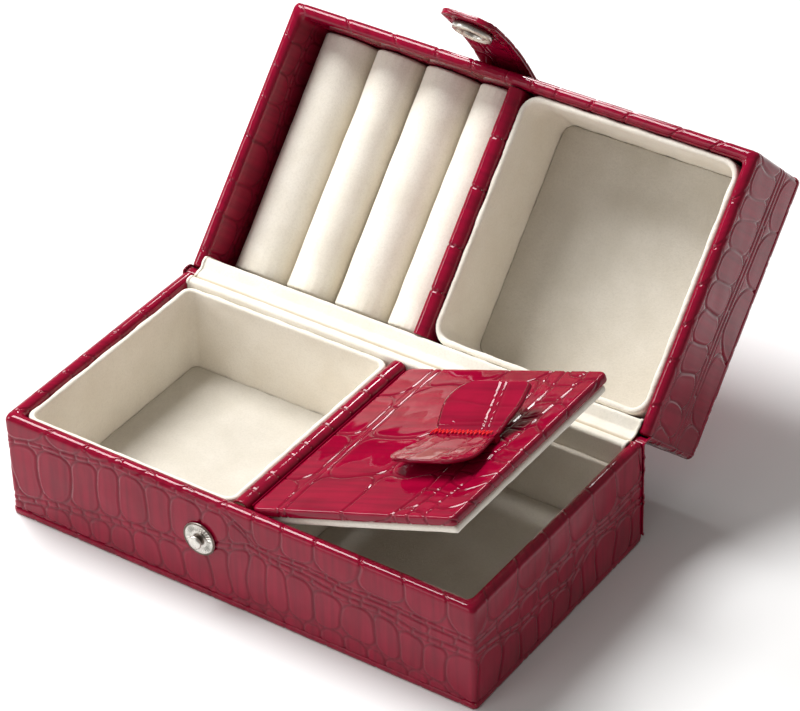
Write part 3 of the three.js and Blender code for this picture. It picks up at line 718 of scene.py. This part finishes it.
def wrapped_plate(low, high, edge, under, spacing, corner=0):
    """A grid over a plate's top that turns down round its edges and a little underneath.

    Edge is the radius over its edges and corner the radius of its corners, seen from above.
    Returns the points, facing up, and the flat sheet's own coordinates.
    """
    corner = max(corner, edge)
    middle = [(low[axis] + high[axis]) / 2 for axis in range(2)]
    inner = [(high[axis] - low[axis]) / 2 - corner for axis in range(2)]
    thickness = high[2] - low[2]
    quarter = edge * math.pi / 2
    side = thickness - 2 * edge
    longest = 2 * quarter + side + under
    reach = corner - edge + longest
    spans = [np.linspace(-half - reach, half + reach, count_along(2 * (half + reach), spacing))
             for half in inner]
    u, v = np.meshgrid(*spans, indexing="ij")
    beyond = [np.sign(q) * np.maximum(np.abs(q) - half, 0) for q, half in zip((u, v), inner)]
    distance = np.hypot(*beyond)
    along = np.clip(distance - (corner - edge), 0, longest)
    first = np.clip(along, 0, quarter) / edge
    straight = np.clip(along - quarter, 0, side)
    second = np.clip(along - quarter - side, 0, quarter) / edge
    last = np.clip(along - 2 * quarter - side, 0, under)
    out = np.minimum(distance, corner - edge)
    out = out + edge * np.sin(first) - edge * (1 - np.cos(second)) - last
    down = edge * (1 - np.cos(first)) + straight + edge * np.sin(second)
    share = out / np.maximum(distance, TINY)
    points = np.stack([
        middle[0] + np.clip(u, -inner[0], inner[0]) + beyond[0] * share,
        middle[1] + np.clip(v, -inner[1], inner[1]) + beyond[1] * share,
        high[2] - down], 2)
    return points, u, v


def end_panel(name, half, node, place, seed):
    """The leather over the foot of the base or the top of the lid."""
    low, high = shut_box(node, place)
    spacing, edge, under = 0.6 * MM, 0.5 * MM, 3 * MM
    over_board, trim, groove = 0.22 * MM, 0.22 * MM, 0.12 * MM
    if half == "base":
        high.z += over_board
    else:
        low.z -= over_board
    low.xy += Vector((trim, trim))
    high.xy -= Vector((trim, trim))
    grid, u, v = wrapped_plate(low, high, edge, under, spacing, corner=CORNER)
    if half == "base":
        grid[:, :, 2] = low.z + high.z - grid[:, :, 2]
        grid, u, v = grid[::-1], u[::-1], v[::-1]
    rows = straight_rows(v.min() - 1 * MM, v.max() + 1 * MM, *PANEL_ROWS)
    piece = leather_piece(name, grid, u, v, rows, seed, place, depth=groove)
    ride(piece, half, node, slot="red_leather")


def divider_cap(half, height, place, scale_length, seed):
    """The rolled leather cap along a divider's edge."""
    low, high = shut_box(f"{half}_divider_cover", place)
    deep = high.z - low.z
    flat_half, steps, spacing = 0.35 * MM, 8, 0.35 * MM
    radius = (high.x - low.x) / 2 - flat_half
    flank = count_along(deep, spacing)
    section, v = path(
        line((low.x, deep), (low.x, radius), flank),
        arc((low.x + radius, radius), radius, 180, 270, steps),
        arc((high.x - radius, radius), radius, 270, 360, steps),
        line((high.x, radius), (high.x, deep), flank),
        (high.x, deep))
    y = np.linspace(low.y, high.y, count_along(high.y - low.y, spacing))
    grid = np.zeros((len(y), len(section), 3))
    grid[:, :, 0] = section[:, 0]
    grid[:, :, 1] = y[:, None]
    grid[:, :, 2] = height(section[:, 1])
    if half == "base":
        grid = grid[::-1]
    u_grid, v_grid = np.meshgrid(grid[:, 0, 1], v, indexing="ij")
    rows = straight_rows(-INSIDE, INSIDE, (2 * INSIDE, scale_length))
    piece = leather_piece(
        f"{half}_divider_leather", grid, u_grid, v_grid, rows, seed, place, sway=0.7 * MM)
    thicken(piece, SKIN)
    ride(piece, half, f"{half}_divider_cover", slot="red_leather")


def build_shell():
    """All the leather of both halves."""
    wrap("base", base_height, base_place, 7.8 * MM, base_rows(), seed=11)
    wrap("lid", lid_height, lid_place, 21 * MM, lid_rows(), seed=23)
    back_leather()
    end_panel("foot_leather", "base", "base_foot_panel_cover", base_place, seed=41)
    end_panel("lid_top_leather", "lid", "lid_top_panel_cover", lid_place, seed=43)
    divider_cap("base", base_height, base_place, 8.5 * MM, seed=51)
    divider_cap("lid", lid_height, lid_place, 17 * MM, seed=53)


# ---- Velvet: hinge lining, trays, pads and ring rolls ----

def hinge_lining():
    """One strip of velvet from inside the base, over the hinge, to inside the lid."""
    low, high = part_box("base_hinge_lining")
    tuck = 2 * MM
    inner, depth, reach = low.y, high.z - low.z + tuck, high.x
    thickness, round_over = 0.8 * MM, 1 * MM
    rim, lid_rim = RIM_Z, LID_RIM_Z
    fold_start = (HALF_Y - 2.6 * MM, rim)
    crease = np.array((HALF_Y - 1.5 * MM, rim - 1.4 * MM))
    handle = np.array((0.1 * MM, 0.9 * MM))
    fold_steps = 8
    base_stretch = np.concatenate([
        line((inner, rim - depth), (inner, rim - round_over), 10),
        arc((inner + round_over, rim - round_over), round_over, 180, 90, 6),
        line((inner + round_over, rim), fold_start, 8)])
    lid_stretch = np.concatenate([
        line((HALF_Y - 0.6 * MM, lid_rim), (inner + round_over, lid_rim), 8),
        arc((inner + round_over, lid_rim + round_over), round_over, 270, 180, 6),
        line((inner, lid_rim + round_over), (inner, lid_rim + depth), 10),
        [(inner, lid_rim + depth)]])
    lid_points = np.array([opened(y, z) for y, z in lid_stretch])
    fold_end = lid_points[0]
    profile, v = path(
        base_stretch,
        curve_between(fold_start, np.add(fold_start, (1 * MM, 0)), crease + handle * (-1, 1),
                      crease, fold_steps),
        curve_between(crease, crease + handle, fold_end - (0.4 * MM, 0.3 * MM), fold_end, 7),
        lid_points)
    grid = across_hinge(profile, reach, 0.3 * MM, 0.8 * MM)
    u_grid, v_grid = np.meshgrid(grid[:, 0, 0], v, indexing="ij")
    fray = np.clip(1 - (reach - np.abs(u_grid)) / (3 * MM), 0, 1)
    grid[:, :, 0] += np.sign(u_grid) * fray * 0.15 * MM * wander(u_grid * 0, v_grid, 3 * MM, 61)
    grid[:, :, 2] += 0.08 * MM * wander(u_grid, v_grid, 9 * MM, 62)
    # Painted shade along the fold's deepest line, kept as the velvet's crease value.
    deepest, shade_width = v[len(base_stretch) + fold_steps] + 0.8 * MM, 0.75 * MM
    shade = np.exp(-((v_grid - deepest) / shade_width) ** 2)
    piece = grid_piece("hinge_lining", grid, velvet, crease=shade)
    thicken(piece, thickness)
    bend_between(piece, "base", "lid", (0, HALF_Y + 0.1 * MM, rim),
                 (0, fold_end[0] - 0.1 * MM, rim), "base_hinge_lining", "lid_hinge_lining",
                 slot="velvet")


def tray_lining(tray, half, place, radius, seed):
    """A velvet-covered wall bent round the inside of a tray, with a soft top edge."""
    low, high = shut_box(f"{tray}_lining", place)
    pad_low, _ = shut_box(f"{tray}_pad", place)
    bulge, pad_gap, spacing = 0.22 * MM, 0.12 * MM, 0.9 * MM
    low, high = low - Vector((bulge, bulge, 0)), high + Vector((bulge, bulge, 0))
    thickness = pad_low.x - low.x - pad_gap
    top, bottom = (high.z, low.z) if half == "base" else (low.z, high.z)
    down = 1 if bottom > top else -1
    wall = abs(bottom - top)
    round_over = thickness / 2
    section, v = path(
        line((0, wall), (0, round_over), count_along(wall, 2 * spacing)),
        arc((round_over, round_over), round_over, 180, 360, 10),
        line((thickness, round_over), (thickness, wall), count_along(wall, spacing)),
        (thickness, wall))
    loops = [closed_loop(low, high, inset, radius, spacing) for inset, _ in section]
    grid = stacked(loops, top + down * section[:, 1])
    if half == "lid":
        grid, v = grid[:, ::-1], v[::-1]
    u_grid, v_grid = np.meshgrid(loops[0][1], v, indexing="ij")
    soft = 0.12 * MM * wander(u_grid, v_grid, 14 * MM, seed)
    soft += 0.05 * MM * wander(u_grid, v_grid, 2.5 * MM, seed + 1)
    soft -= 0.1 * MM
    points = grid + normals_of(grid, True) * soft[..., None]
    piece = grid_piece(f"{tray}_felt", moved(points, place), tray_felt, closed=True)
    ride(piece, half, f"{tray}_lining", slot="velvet")


def tray_pad(tray, half, place, radius, seed):
    """A thin velvet-covered pad with a slightly ragged edge."""
    low, high = shut_box(f"{tray}_pad", place)
    face, back = (high.z, low.z) if half == "base" else (low.z, high.z)
    up = 1 if face > back else -1
    thickness = abs(face - back)
    edge, rings, spacing, spill = 0.45 * MM, 25, 0.7 * MM, 0.16 * MM
    reach = min(high.x - low.x, high.y - low.y) / 2 - 0.5 * MM
    inward = edge + (reach - edge) * np.linspace(0, 1, rings + 1)[1:] ** 1.4
    section = np.concatenate([
        [(0, 0)],
        [(edge * (1 - math.cos(turn)), thickness - edge * (1 - math.sin(turn)))
         for turn in np.radians(np.linspace(0, 90, 6))],
        np.stack([inward, np.full(rings, thickness)], 1)])
    centre = np.array(((low.x + high.x) / 2, (low.y + high.y) / 2))
    grid = []
    for inset, rise in section:
        loop, u = closed_loop(low, high, inset, radius, spacing)
        ragged = 0.12 * MM * (wander(u, 0 * u, 1.6 * MM, seed) + wander(u, 0 * u, 9 * MM, seed + 2))
        fade = math.exp(-inset / (1.5 * MM))
        outward = (loop - centre) / np.linalg.norm(loop - centre, axis=1, keepdims=True)
        loop = loop + outward * (ragged + spill)[:, None] * fade
        swell = 0.1 * MM * (1 - math.exp(-inset / (8 * MM)))
        dimples = 0.05 * MM * wander(loop[:, 0], loop[:, 1], 11 * MM, seed + 1)
        height = back + up * (rise + (swell + dimples if rise > thickness / 2 else 0))
        grid.append(np.column_stack([loop, height + 0 * u]))
    grid = np.array(grid).transpose(1, 0, 2)
    if half == "lid":
        grid = grid[::-1]
    piece = grid_piece(f"{tray}_cushion", moved(grid, place), pad_felt, closed=True, cap=True)
    ride(piece, half, f"{tray}_pad", slot="velvet")


def roll_rows(start, end, radius):
    """The rows along a roll: where each lies, how far it has closed and its size.

    Each end is a flat disc that opens from its middle and then rounds over to the full size.
    """
    rounding, disc_rows = 1 * MM, 5
    turn = np.radians(np.linspace(0, 90, 8))
    disc = np.zeros(disc_rows)
    forward = np.concatenate([disc, rounding * (1 - np.cos(turn))])
    pulled = np.concatenate([disc, rounding * (1 - np.sin(turn))])
    closing = np.concatenate([np.linspace(0.05, 1, disc_rows + 1)[:-1], 0 * turn + 1])
    body = np.linspace(start + rounding, end - rounding, count_along(end - start, 1.2 * MM))[1:-1]
    y = np.concatenate([start + forward, body, end - forward[::-1]])[:, None]
    pulled = np.concatenate([pulled, 0 * body, pulled[::-1]])[:, None]
    closing = np.concatenate([closing, 0 * body + 1, closing[::-1]])[:, None]
    return y, closing, closing * (1 - pulled / radius)


def ring_roll(number):
    """A foam roll under velvet, rounded off at its two ends, with painted shade where rolls meet."""
    node = f"ring_roll_cover_{number}"
    low, high = shut_box(node, lid_place)
    radius, middle = (high.x - low.x) / 2, (high.x + low.x) / 2
    foot = high.z
    flank = foot - low.z - radius
    section, _ = path(
        line((-radius, flank), (-radius, 0), 10),
        arc((0, 0), radius, 180, 360, 36),
        line((radius, 0), (radius, flank), 10),
        (radius, flank))
    across, rise = section.T
    y, closing, size = roll_rows(low.y, high.y, radius)
    angle = np.arctan2(rise, across)
    near_end = np.exp(-np.minimum(y - low.y, high.y - y) / (4 * MM))
    pucker = 0.12 * MM * near_end * np.sin(22 * angle + number) * closing
    soft = pucker + 0.1 * MM * wander(across[None], y, 16 * MM, 70 + number)
    grid = np.stack([
        middle + across * size + np.cos(angle) * soft,
        y + 0 * soft,
        foot + (rise - flank) * size + np.sin(angle) * soft], 2)
    # Painted shade: the roll's flanks darken towards where the rolls meet.
    valley_start, valley_reach, valley_shade = 0.6475, 0.35, 0.42
    valley = valley_shade * smooth_step((np.abs(across) / radius - valley_start) / valley_reach)
    piece = grid_piece(
        f"ring_roll_{number}", moved(grid[::-1], lid_place), velvet,
        crease=np.broadcast_to(valley, soft.shape))
    ride(piece, "lid", node, slot="velvet")


def build_velvet():
    """Everything that is lined or padded."""
    trays = (
        ("left_tray", "base", base_place, 4 * MM, 2 * MM),
        ("right_tray", "base", base_place, 4 * MM, 2 * MM),
        ("lid_tray", "lid", lid_place, 6 * MM, 4 * MM))
    hinge_lining()
    for number, (tray, half, place, corner, _) in enumerate(trays):
        tray_lining(tray, half, place, corner, 81 + 2 * number)
    for number, (tray, half, place, _, pad_corner) in enumerate(trays):
        tray_pad(tray, half, place, pad_corner, 91 + 2 * number)
    for number in range(1, 5):
        ring_roll(number)


# ---- Flap ----

def flap_rows():
    """Rows across the flap, from its hinge to its free edge, as edges slanting to the back."""
    far = 50
    edges = (
        (-90, -90, 24), (-26.5, -25.5, 55), (-23.8, -22.8, 25), (-4, 3, 22), (15, 20, 8),
        (20, 24, 6), (26.5, 30, 9), (90, 90, None))
    return [
        ([(-far * MM, front * MM), (far * MM, back * MM)], length and length * MM)
        for front, back, length in edges]


def flap_leather():
    """The flap's padded leather face, turned over its edges."""
    low, high = shut_box("flap_leather_cover", flap_place)
    edge, under, corner = 1.35 * MM, 6 * MM, 2 * MM
    swell_rise, swell_reach, sink = 0.35 * MM, 40 * MM, 0.2 * MM
    grid, across, along = wrapped_plate(low, high, edge, under, SPACING, corner=corner)
    swell = swell_rise * np.clip(1 - (across / swell_reach) ** 2, 0, 1)
    swell = swell * np.clip(1 - (along / swell_reach) ** 2, 0, 1)
    grid[:, :, 2] += np.where(grid[:, :, 2] > high.z - sink, swell - sink, 0)
    towards_free_edge = smooth_step((across + 5 * MM) / (20 * MM))
    piece = leather_piece(
        "flap_leather", grid, along, across, flap_rows(), 101, flap_place, rounding=0.25,
        sway=(0.7 + 1.6 * towards_free_edge) * MM)
    ride(piece, "flap", "flap_leather_cover", slot="red_leather")


def flap_underside():
    """The velvet-covered board under the flap."""
    low, high = shut_box("flap_lining", flap_place)
    grid, across, along = wrapped_plate(low, high, 0.8 * MM, 1 * MM, 0.8 * MM)
    grid[:, :, 2] = low.z + high.z - grid[:, :, 2]
    grid[:, :, 2] += 0.06 * MM * wander(across, along, 8 * MM, 111)
    piece = grid_piece("flap_felt", moved(grid[::-1], flap_place), tray_felt)
    ride(piece, "flap", "flap_lining", slot="velvet")


def build_flap():
    """The flap without its tab."""
    flap_leather()
    flap_underside()


# ---- Leather bands: the strap's two layers and the tab's two leaves ----

UNDERSIDE_SHARE = 0.35


def tip_width(s, length, half_width, radius):
    """A band's half width along its length, with the two corners of its tip rounded."""
    past = np.clip(s - (length - radius), 0, radius)
    return half_width - radius + np.sqrt(np.maximum(radius ** 2 - past ** 2, 0))


def flat_band(s, half_width, thickness, shift=0.0):
    """A closed band as a grid of (along, across, up), with rounded edges."""
    edge = thickness / 2
    turn = np.radians(np.linspace(-90, 90, 6))
    flat = np.linspace(-1, 1, 40)
    across = np.concatenate([flat, 0 * turn + 1, flat[::-1], 0 * turn - 1])
    bulge = edge * np.concatenate([0 * flat, np.cos(turn), 0 * flat, -np.cos(turn)])
    up = edge * np.concatenate([0 * flat - 1, np.sin(turn), 0 * flat + 1, -np.sin(turn)])
    grid = np.zeros((len(across), len(s), 3))
    grid[:, :, 0] = s
    grid[:, :, 1] = across[:, None] * (half_width - edge) + bulge[:, None] + shift
    grid[:, :, 2] = up[:, None]
    return grid


def emboss_band(grid, rows, seed, depth):
    """Raises a band's upper side as croc scales, and its lower side a little."""
    across, up = grid[:, :, 1], grid[:, :, 2]
    rows = straight_rows(across.min() - 1 * MM, across.max() + 1 * MM, *rows)
    height, crease = croc(grid[:, :, 0], across, rows, seed, depth=depth)
    side = np.clip(up / np.abs(up).max(), -1, 1)
    raised = grid.copy()
    raised[:, :, 2] += np.where(side > 0, height * side, -UNDERSIDE_SHARE * height * side)
    return raised, crease * np.clip(side, 0.2, 1)


def band_piece(name, points, crease, flat, turned_over):
    """A leather band over a closed grid of points, which one side of a pair turns over."""
    if turned_over:
        points, crease = points[::-1], crease[::-1]
    return grid_piece(
        name, points, patent_leather, closed=True, cap=True, crease=crease, flat=flat)


STRAP_ROWS = ((6 * MM, 9 * MM), (1.6 * MM, 4 * MM), (8 * MM, 8 * MM), (2 * MM, 5 * MM))
STRAP_LEAN = 12
STRAP_LENGTH = 37.8 * MM
STRAP_BEND = 29 * MM
ANCHOR_LENGTH = 16 * MM
ANCHOR_BEND = 5 * MM
STRAP_LAYER = 0.95 * MM
STRAP_TIP = 4.5 * MM
STRAP_GROOVE = 0.16 * MM
LAYER_OVERLAP = 0.05 * MM
BAND_SPACING = 0.45 * MM
BEND_REACH = 1.5 * MM

strap_turn = turn_about("strap_bend", opening("strap_bend"))
strap_place = strap_turn @ lid_place
strap_hinge = lid_place.inverted() @ Vector(joints["strap_bend"]["pos_m"])


def strap_walk(s):
    """The strap's middle line in the shut case: y, z and lean at distances from the bend."""
    y, z = np.zeros(len(s)), np.zeros(len(s))
    lean = math.radians(STRAP_LEAN) * np.where(
        s > 0, np.clip(1 - s / STRAP_BEND, 0, 1), np.clip(1 + s / ANCHOR_BEND, 0, 1))
    steps = np.diff(s)
    middle = (lean[1:] + lean[:-1]) / 2
    y[1:] = np.cumsum(-steps * np.sin(middle))
    z[1:] = np.cumsum(-steps * np.cos(middle))
    at_hinge = np.argmin(np.abs(s))
    return y - y[at_hinge] + strap_hinge.y, z - z[at_hinge] + strap_hinge.z, lean


def strap_layer(name, side, seed, *nodes):
    """One leather layer of the strap, from its sewn end to its tip."""
    s = np.append(np.arange(-ANCHOR_LENGTH, STRAP_LENGTH, BAND_SPACING), STRAP_LENGTH)
    low, high = shut_box("strap_anchor", lid_place)
    half_width = tip_width(s, STRAP_LENGTH, (high.x - low.x) / 2, STRAP_TIP)
    flat = flat_band(s, half_width, STRAP_LAYER)
    raised, crease = emboss_band(flat, STRAP_ROWS, seed, STRAP_GROOVE)
    y, z, lean = strap_walk(s)
    out = side * (STRAP_LAYER / 2 - LAYER_OVERLAP + raised[:, :, 2])
    shut = np.stack([
        strap_hinge.x + raised[:, :, 1], y - out * np.cos(lean), z + out * np.sin(lean)], 2)
    on_strap = smooth_step((s + BEND_REACH) / (2 * BEND_REACH))[None, :, None]
    points = moved(shut, lid_place) * (1 - on_strap) + moved(shut, strap_place) * on_strap
    piece = band_piece(name, points, crease, flat, turned_over=side > 0)
    middle = moved(np.stack([strap_hinge.x + 0 * s, y, z], 1), lid_place)
    start, end = (middle[np.argmin(np.abs(s - reach))] for reach in (-BEND_REACH, BEND_REACH))
    bend_between(piece, "lid", "strap", start, end, *nodes, slot="red_leather")


FRONT_LEAF_REST = 2.5
BACK_LEAF_REST = 18
FRONT_LEAF_ROWS = ((5.5 * MM, 8 * MM), (4.5 * MM, 13 * MM), (9 * MM, 17 * MM))
BACK_LEAF_ROWS = ((60 * MM, 13 * MM),)
BACK_LEAF_LINES = (
    ((2, 5.5), (20, 3.5)), ((2, 7.2), (20, 5.4)), ((3.2, -11), (3.8, 11)), ((4.6, -6), (5.4, 11)))


def crease_line(u, v, start, end):
    """A single straight crease from start to end, from 0 to 1."""
    start, end = np.array(start) * MM, np.array(end) * MM
    run = end - start
    share = np.clip(((u - start[0]) * run[0] + (v - start[1]) * run[1]) / (run @ run), 0, 1)
    distance = np.hypot(u - start[0] - share * run[0], v - start[1] - share * run[1])
    return np.exp(-(distance / (0.45 * MM)) ** 2)


def score(raised, crease, flat, lines):
    """Presses single creases into a band's upper side, and returns the crease values with painted shade along
    them.
    """
    line_depth, line_shade = 0.3 * MM, 0.6
    for start, end in lines:
        pressed = crease_line(flat[:, :, 0], flat[:, :, 1], start, end) * (flat[:, :, 2] > 0)
        raised[:, :, 2] -= line_depth * pressed
        crease = np.maximum(crease, line_shade * pressed)
    return crease


def tab_leaf(name, rest, side, length_share, tips, rows, seed, depth, curl, lines=()):
    """A leaf of the tab, from the seam to its rounded end; side is -1 in front.

    Tips are the radii of its left and right corners. Lines are single creases, as pairs of
    (along, across) points in millimetres.
    """
    node, joint = f"tab_{name}", f"{name}_bend"
    place = turn_about(joint, rest) @ flap_place
    low, high = shut_box(node, place)
    root_low, root_high = shut_box("tab_root", flap_place)
    seam_y = (root_low.y + root_high.y) / 2
    thickness = 1.15 * (high.z - low.z)
    length = length_share * ((high.y - seam_y) if side > 0 else (seam_y - low.y))
    s = np.append(np.arange(0, length, 0.4 * MM), length)
    root_half = (root_high.x - root_low.x) / 2
    flare = (high.x - low.x) / 2 - root_half
    width = root_half + flare * smooth_step(s / length * 1.4)
    left, right = (width + tip_width(s, length, 0, radius) for radius in tips)
    flat = flat_band(s, (left + right) / 2, thickness, shift=(right - left) / 2)
    raised, crease = emboss_band(flat, rows, seed, depth)
    crease = score(raised, crease, flat, lines)
    middle_x = (low.x + high.x) / 2
    lift = (low.z + high.z) / 2 + raised[:, :, 2] + curl * (s / length) ** 2
    pressed, pressed_reach = 0.35 * MM, 0.8 * MM
    lift = lift - pressed * np.exp(-(s / pressed_reach) ** 2)
    shut = np.stack([middle_x + raised[:, :, 1], seam_y + side * raised[:, :, 0], lift], 2)
    root, bend = 1.2 * MM, 2.4 * MM
    on_leaf = smooth_step((s - root) / bend)[None, :, None]
    points = moved(shut, flap_place) * (1 - on_leaf) + moved(shut, place) * on_leaf
    piece = band_piece(name, points, crease, flat, turned_over=side < 0)
    start, end = (flap_place @ Vector((middle_x, seam_y + side * reach, high.z))
                  for reach in (root, root + bend))
    body = joints[joint]["child"]
    bend_between(piece, "flap", body, start, end, node, slot="red_leather")


def tube(points, radius):
    """A round tube along a path, as a grid that closes round itself."""
    sides = 8
    direction = np.gradient(points, axis=0)
    direction /= np.linalg.norm(direction, axis=1, keepdims=True)
    side = np.cross(direction, (0, 0, 1))
    side /= np.linalg.norm(side, axis=1, keepdims=True)
    up = np.cross(side, direction)
    turn = np.radians(np.arange(sides) * 360 / sides)[:, None, None]
    return points[None] + radius * (np.cos(turn) * side[None] + np.sin(turn) * up[None])


def zigzag_stitching():
    """Bright thread that zigzags over the tab's seam."""
    low, high = shut_box("tab_stitching", flap_place)
    pitch, reach, radius, bow = 1.4 * MM, 1.05 * MM, 0.17 * MM, 0.12 * MM
    count = count_along(high.x - low.x, pitch / 2)
    turns = np.arange(count + 1)
    random = np.random.default_rng(141)
    x = low.x + turns * pitch / 2 + random.uniform(-0.12, 0.12, count + 1) * MM
    side = np.where(turns % 2, 1, -1) * random.uniform(0.75, 1.2, count + 1)
    y = (low.y + high.y) / 2 + reach * side
    fine = np.arange(0, count, 0.25)
    height = low.z + 0.7 * radius + bow * np.abs(np.sin(math.pi * fine))
    route = np.stack([np.interp(fine, turns, x), np.interp(fine, turns, y), height], 1)
    points = moved(tube(route, radius), flap_place)
    piece = grid_piece("tab_thread", points, red_thread, closed=True, cap=True)
    ride(piece, "flap", "tab_stitching", slot="red_thread")


def build_bands():
    """The strap's layers, the tab's leaves and its stitching."""
    strap_layer("strap_outer", 1, 121, "strap_outer_leather", "strap_anchor")
    strap_layer("strap_inner", -1, 123, "strap_inner_leather")
    tab_leaf("front_leaf", FRONT_LEAF_REST, -1, 1.0, (6 * MM, 6 * MM), FRONT_LEAF_ROWS, 131,
             0.14 * MM, 2.6 * MM)
    tab_leaf("back_leaf", BACK_LEAF_REST, 1, 0.88, (9 * MM, 1.6 * MM), BACK_LEAF_ROWS, 133,
             0.1 * MM, 0.8 * MM, lines=BACK_LEAF_LINES)
    zigzag_stitching()


# ---- Snap fastener ----

def turned_metal(node, place, body, start_y, direction, profile, ticks=None, tarnished=(0, 0)):
    """A turned nickel piece on a line along Y, from (radius, ahead) points in millimetres.

    Ticks are (count, inner radius, outer radius, height), and tarnished is how far ahead
    the band of painted brown shade starts and ends, both in metres.
    """
    low, high = shut_box(node, place)
    centre = ((low.x + high.x) / 2, (low.z + high.z) / 2)
    turn = np.radians(np.linspace(0, 360, 240 if ticks else 96, endpoint=False))[:, None]
    radius, ahead = (np.array(profile) * MM).T[:, None]
    # Painted brown shade in a band between the two distances ahead.
    tarnish = 0.9 * ((ahead > tarnished[0]) & (ahead < tarnished[1])) + 0 * turn
    if ticks:
        count, inner, outer, height = ticks
        band = (radius > inner) & (radius < outer)
        ahead = ahead + band * height * np.maximum(np.cos(count * turn), 0)
    grid = np.stack([
        centre[0] + radius * np.cos(turn),
        start_y + direction * ahead + 0 * turn,
        centre[1] + radius * np.sin(turn)], 2)
    if direction > 0:
        grid = grid[::-1]
    piece = grid_piece(f"{node}_metal", moved(grid, place), nickel, closed=True, tarnish=tarnish)
    ride(piece, body, node, slot="nickel")


# Outlines of the snap's turned pieces, each as (radius, ahead) points in millimetres.

STUD_PROFILE = (
    (0.01, 0.0), (5.1, 0.0), (5.3, 0.08), (5.35, 0.36), (5.25, 0.6), (5.05, 0.68), (4.85, 0.6),
    (4.7, 0.36), (4.5, 0.28), (4.2, 0.28), (3.9, 0.28), (3.6, 0.28), (3.3, 0.28), (3.0, 0.3),
    (2.6, 0.36), (2.2, 0.4), (1.75, 0.5), (1.6, 0.8), (1.58, 1.2), (1.66, 1.7), (1.9, 1.95),
    (2.1, 2.2), (2.12, 2.45), (2.0, 2.7), (1.7, 2.9), (1.3, 3.02), (0.8, 3.08), (0.4, 3.1),
    (0.01, 3.1))

SOCKET_PROFILE = (
    (2.0, 0.1), (5.9, 0.0), (6.2, 0.12), (6.3, 0.45), (6.3, 1.5), (6.15, 1.8), (5.8, 1.95),
    (5.35, 1.93), (5.05, 1.75), (4.85, 1.5), (4.4, 1.42), (4.05, 1.5), (3.75, 1.7), (3.5, 1.72),
    (3.42, 1.5), (3.4, 0.7), (3.0, 0.5), (2.0, 0.45), (2.0, 0.1))

CAP_PROFILE = (
    (0.01, 0.0), (6.4, 0.0), (6.6, 0.15), (6.6, 0.3), (6.4, 0.45), (5.6, 0.68), (4.5, 0.86),
    (3.0, 1.0), (1.5, 1.08), (0.01, 1.1))


def build_snap():
    """The stud on the base, and the socket and cap on the strap."""
    _, stud_back = shut_box("snap_stud", base_place)
    turned_metal("snap_stud", base_place, "base", stud_back.y, -1, STUD_PROFILE,
                 ticks=(30, 2.9 * MM, 4.6 * MM, 0.3 * MM), tarnished=(0.45 * MM, 1.8 * MM))
    socket_plate, _ = shut_box("snap_socket", strap_place)
    turned_metal("snap_socket", strap_place, "strap", socket_plate.y, 1, SOCKET_PROFILE,
                 tarnished=(0.4 * MM, 0.75 * MM))
    cap_crown, _ = shut_box("snap_cap", strap_place)
    turned_metal("snap_cap", strap_place, "strap", cap_crown.y + CAP_PROFILE[-1][1] * MM, -1,
                 CAP_PROFILE)


# ---- Camera, light and floor ----

def add_camera():
    """The camera at the photograph's angle."""
    azimuth, elevation, roll = map(math.radians, (35.55, 35.99, -2.02))
    distance, lens, sensor = 1.0383, 157.4, 36
    target = Vector((-0.0145, 0.0601, 0.01765))
    back = Vector((
        math.sin(azimuth) * math.cos(elevation),
        -math.cos(azimuth) * math.cos(elevation),
        math.sin(elevation)))
    right = Vector((0, 0, 1)).cross(back).normalized()
    up = back.cross(right)
    rolled_right = math.cos(roll) * right + math.sin(roll) * up
    rolled_up = -math.sin(roll) * right + math.cos(roll) * up
    data = bpy.data.cameras.new("camera")
    data.lens = lens
    data.sensor_width = sensor
    camera = bpy.data.objects.new("camera", data)
    bpy.context.scene.collection.objects.link(camera)
    turn = Matrix((rolled_right, rolled_up, back)).transposed().to_4x4()
    camera.matrix_world = Matrix.Translation(target + distance * back) @ turn
    bpy.context.scene.camera = camera


def add_softbox(name, place, aim, size, power):
    """A square area light that faces a point."""
    data = bpy.data.lights.new(name, "AREA")
    data.size = size
    data.energy = power
    light = bpy.data.objects.new(name, data)
    bpy.context.scene.collection.objects.link(light)
    light.location = place
    light.rotation_euler = (Vector(place) - Vector(aim)).to_track_quat("Z", "Y").to_euler()


def add_stage():
    """A pale floor, a soft sky and four softboxes."""
    bpy.ops.mesh.primitive_plane_add(size=8, location=(0, 0, 0))
    floor = bpy.context.active_object
    floor.name = "floor"
    material, _, shader = new_material("floor")
    set_inputs(shader, Base_Color=(0.86, 0.86, 0.86, 1), Roughness=0.9)
    floor.data.materials.append(material)
    world = bpy.data.worlds.new("studio")
    bpy.context.scene.world = world
    world.use_nodes = True
    set_inputs(world.node_tree.nodes["Background"], Color=(1, 0.965, 0.92, 1), Strength=0.27)
    middle = (0, 0.03, 0.03)
    add_softbox("key", (-0.55, 0.12, 0.95), middle, 0.5, 15.5)
    add_softbox("fill", (-0.35, -1.1, 0.45), middle, 0.6, 2.2)
    add_softbox("side", (-1.0, -0.5, 0.5), middle, 0.35, 3.2)
    add_softbox("glint", (-0.42, 0.7, 0.68), middle, 0.14, 1.6)
    bpy.context.scene.view_settings.view_transform = "Standard"


paint_cad_nodes()
build_shell()
build_velvet()
build_flap()
build_bands()
build_snap()
add_camera()
add_stage()
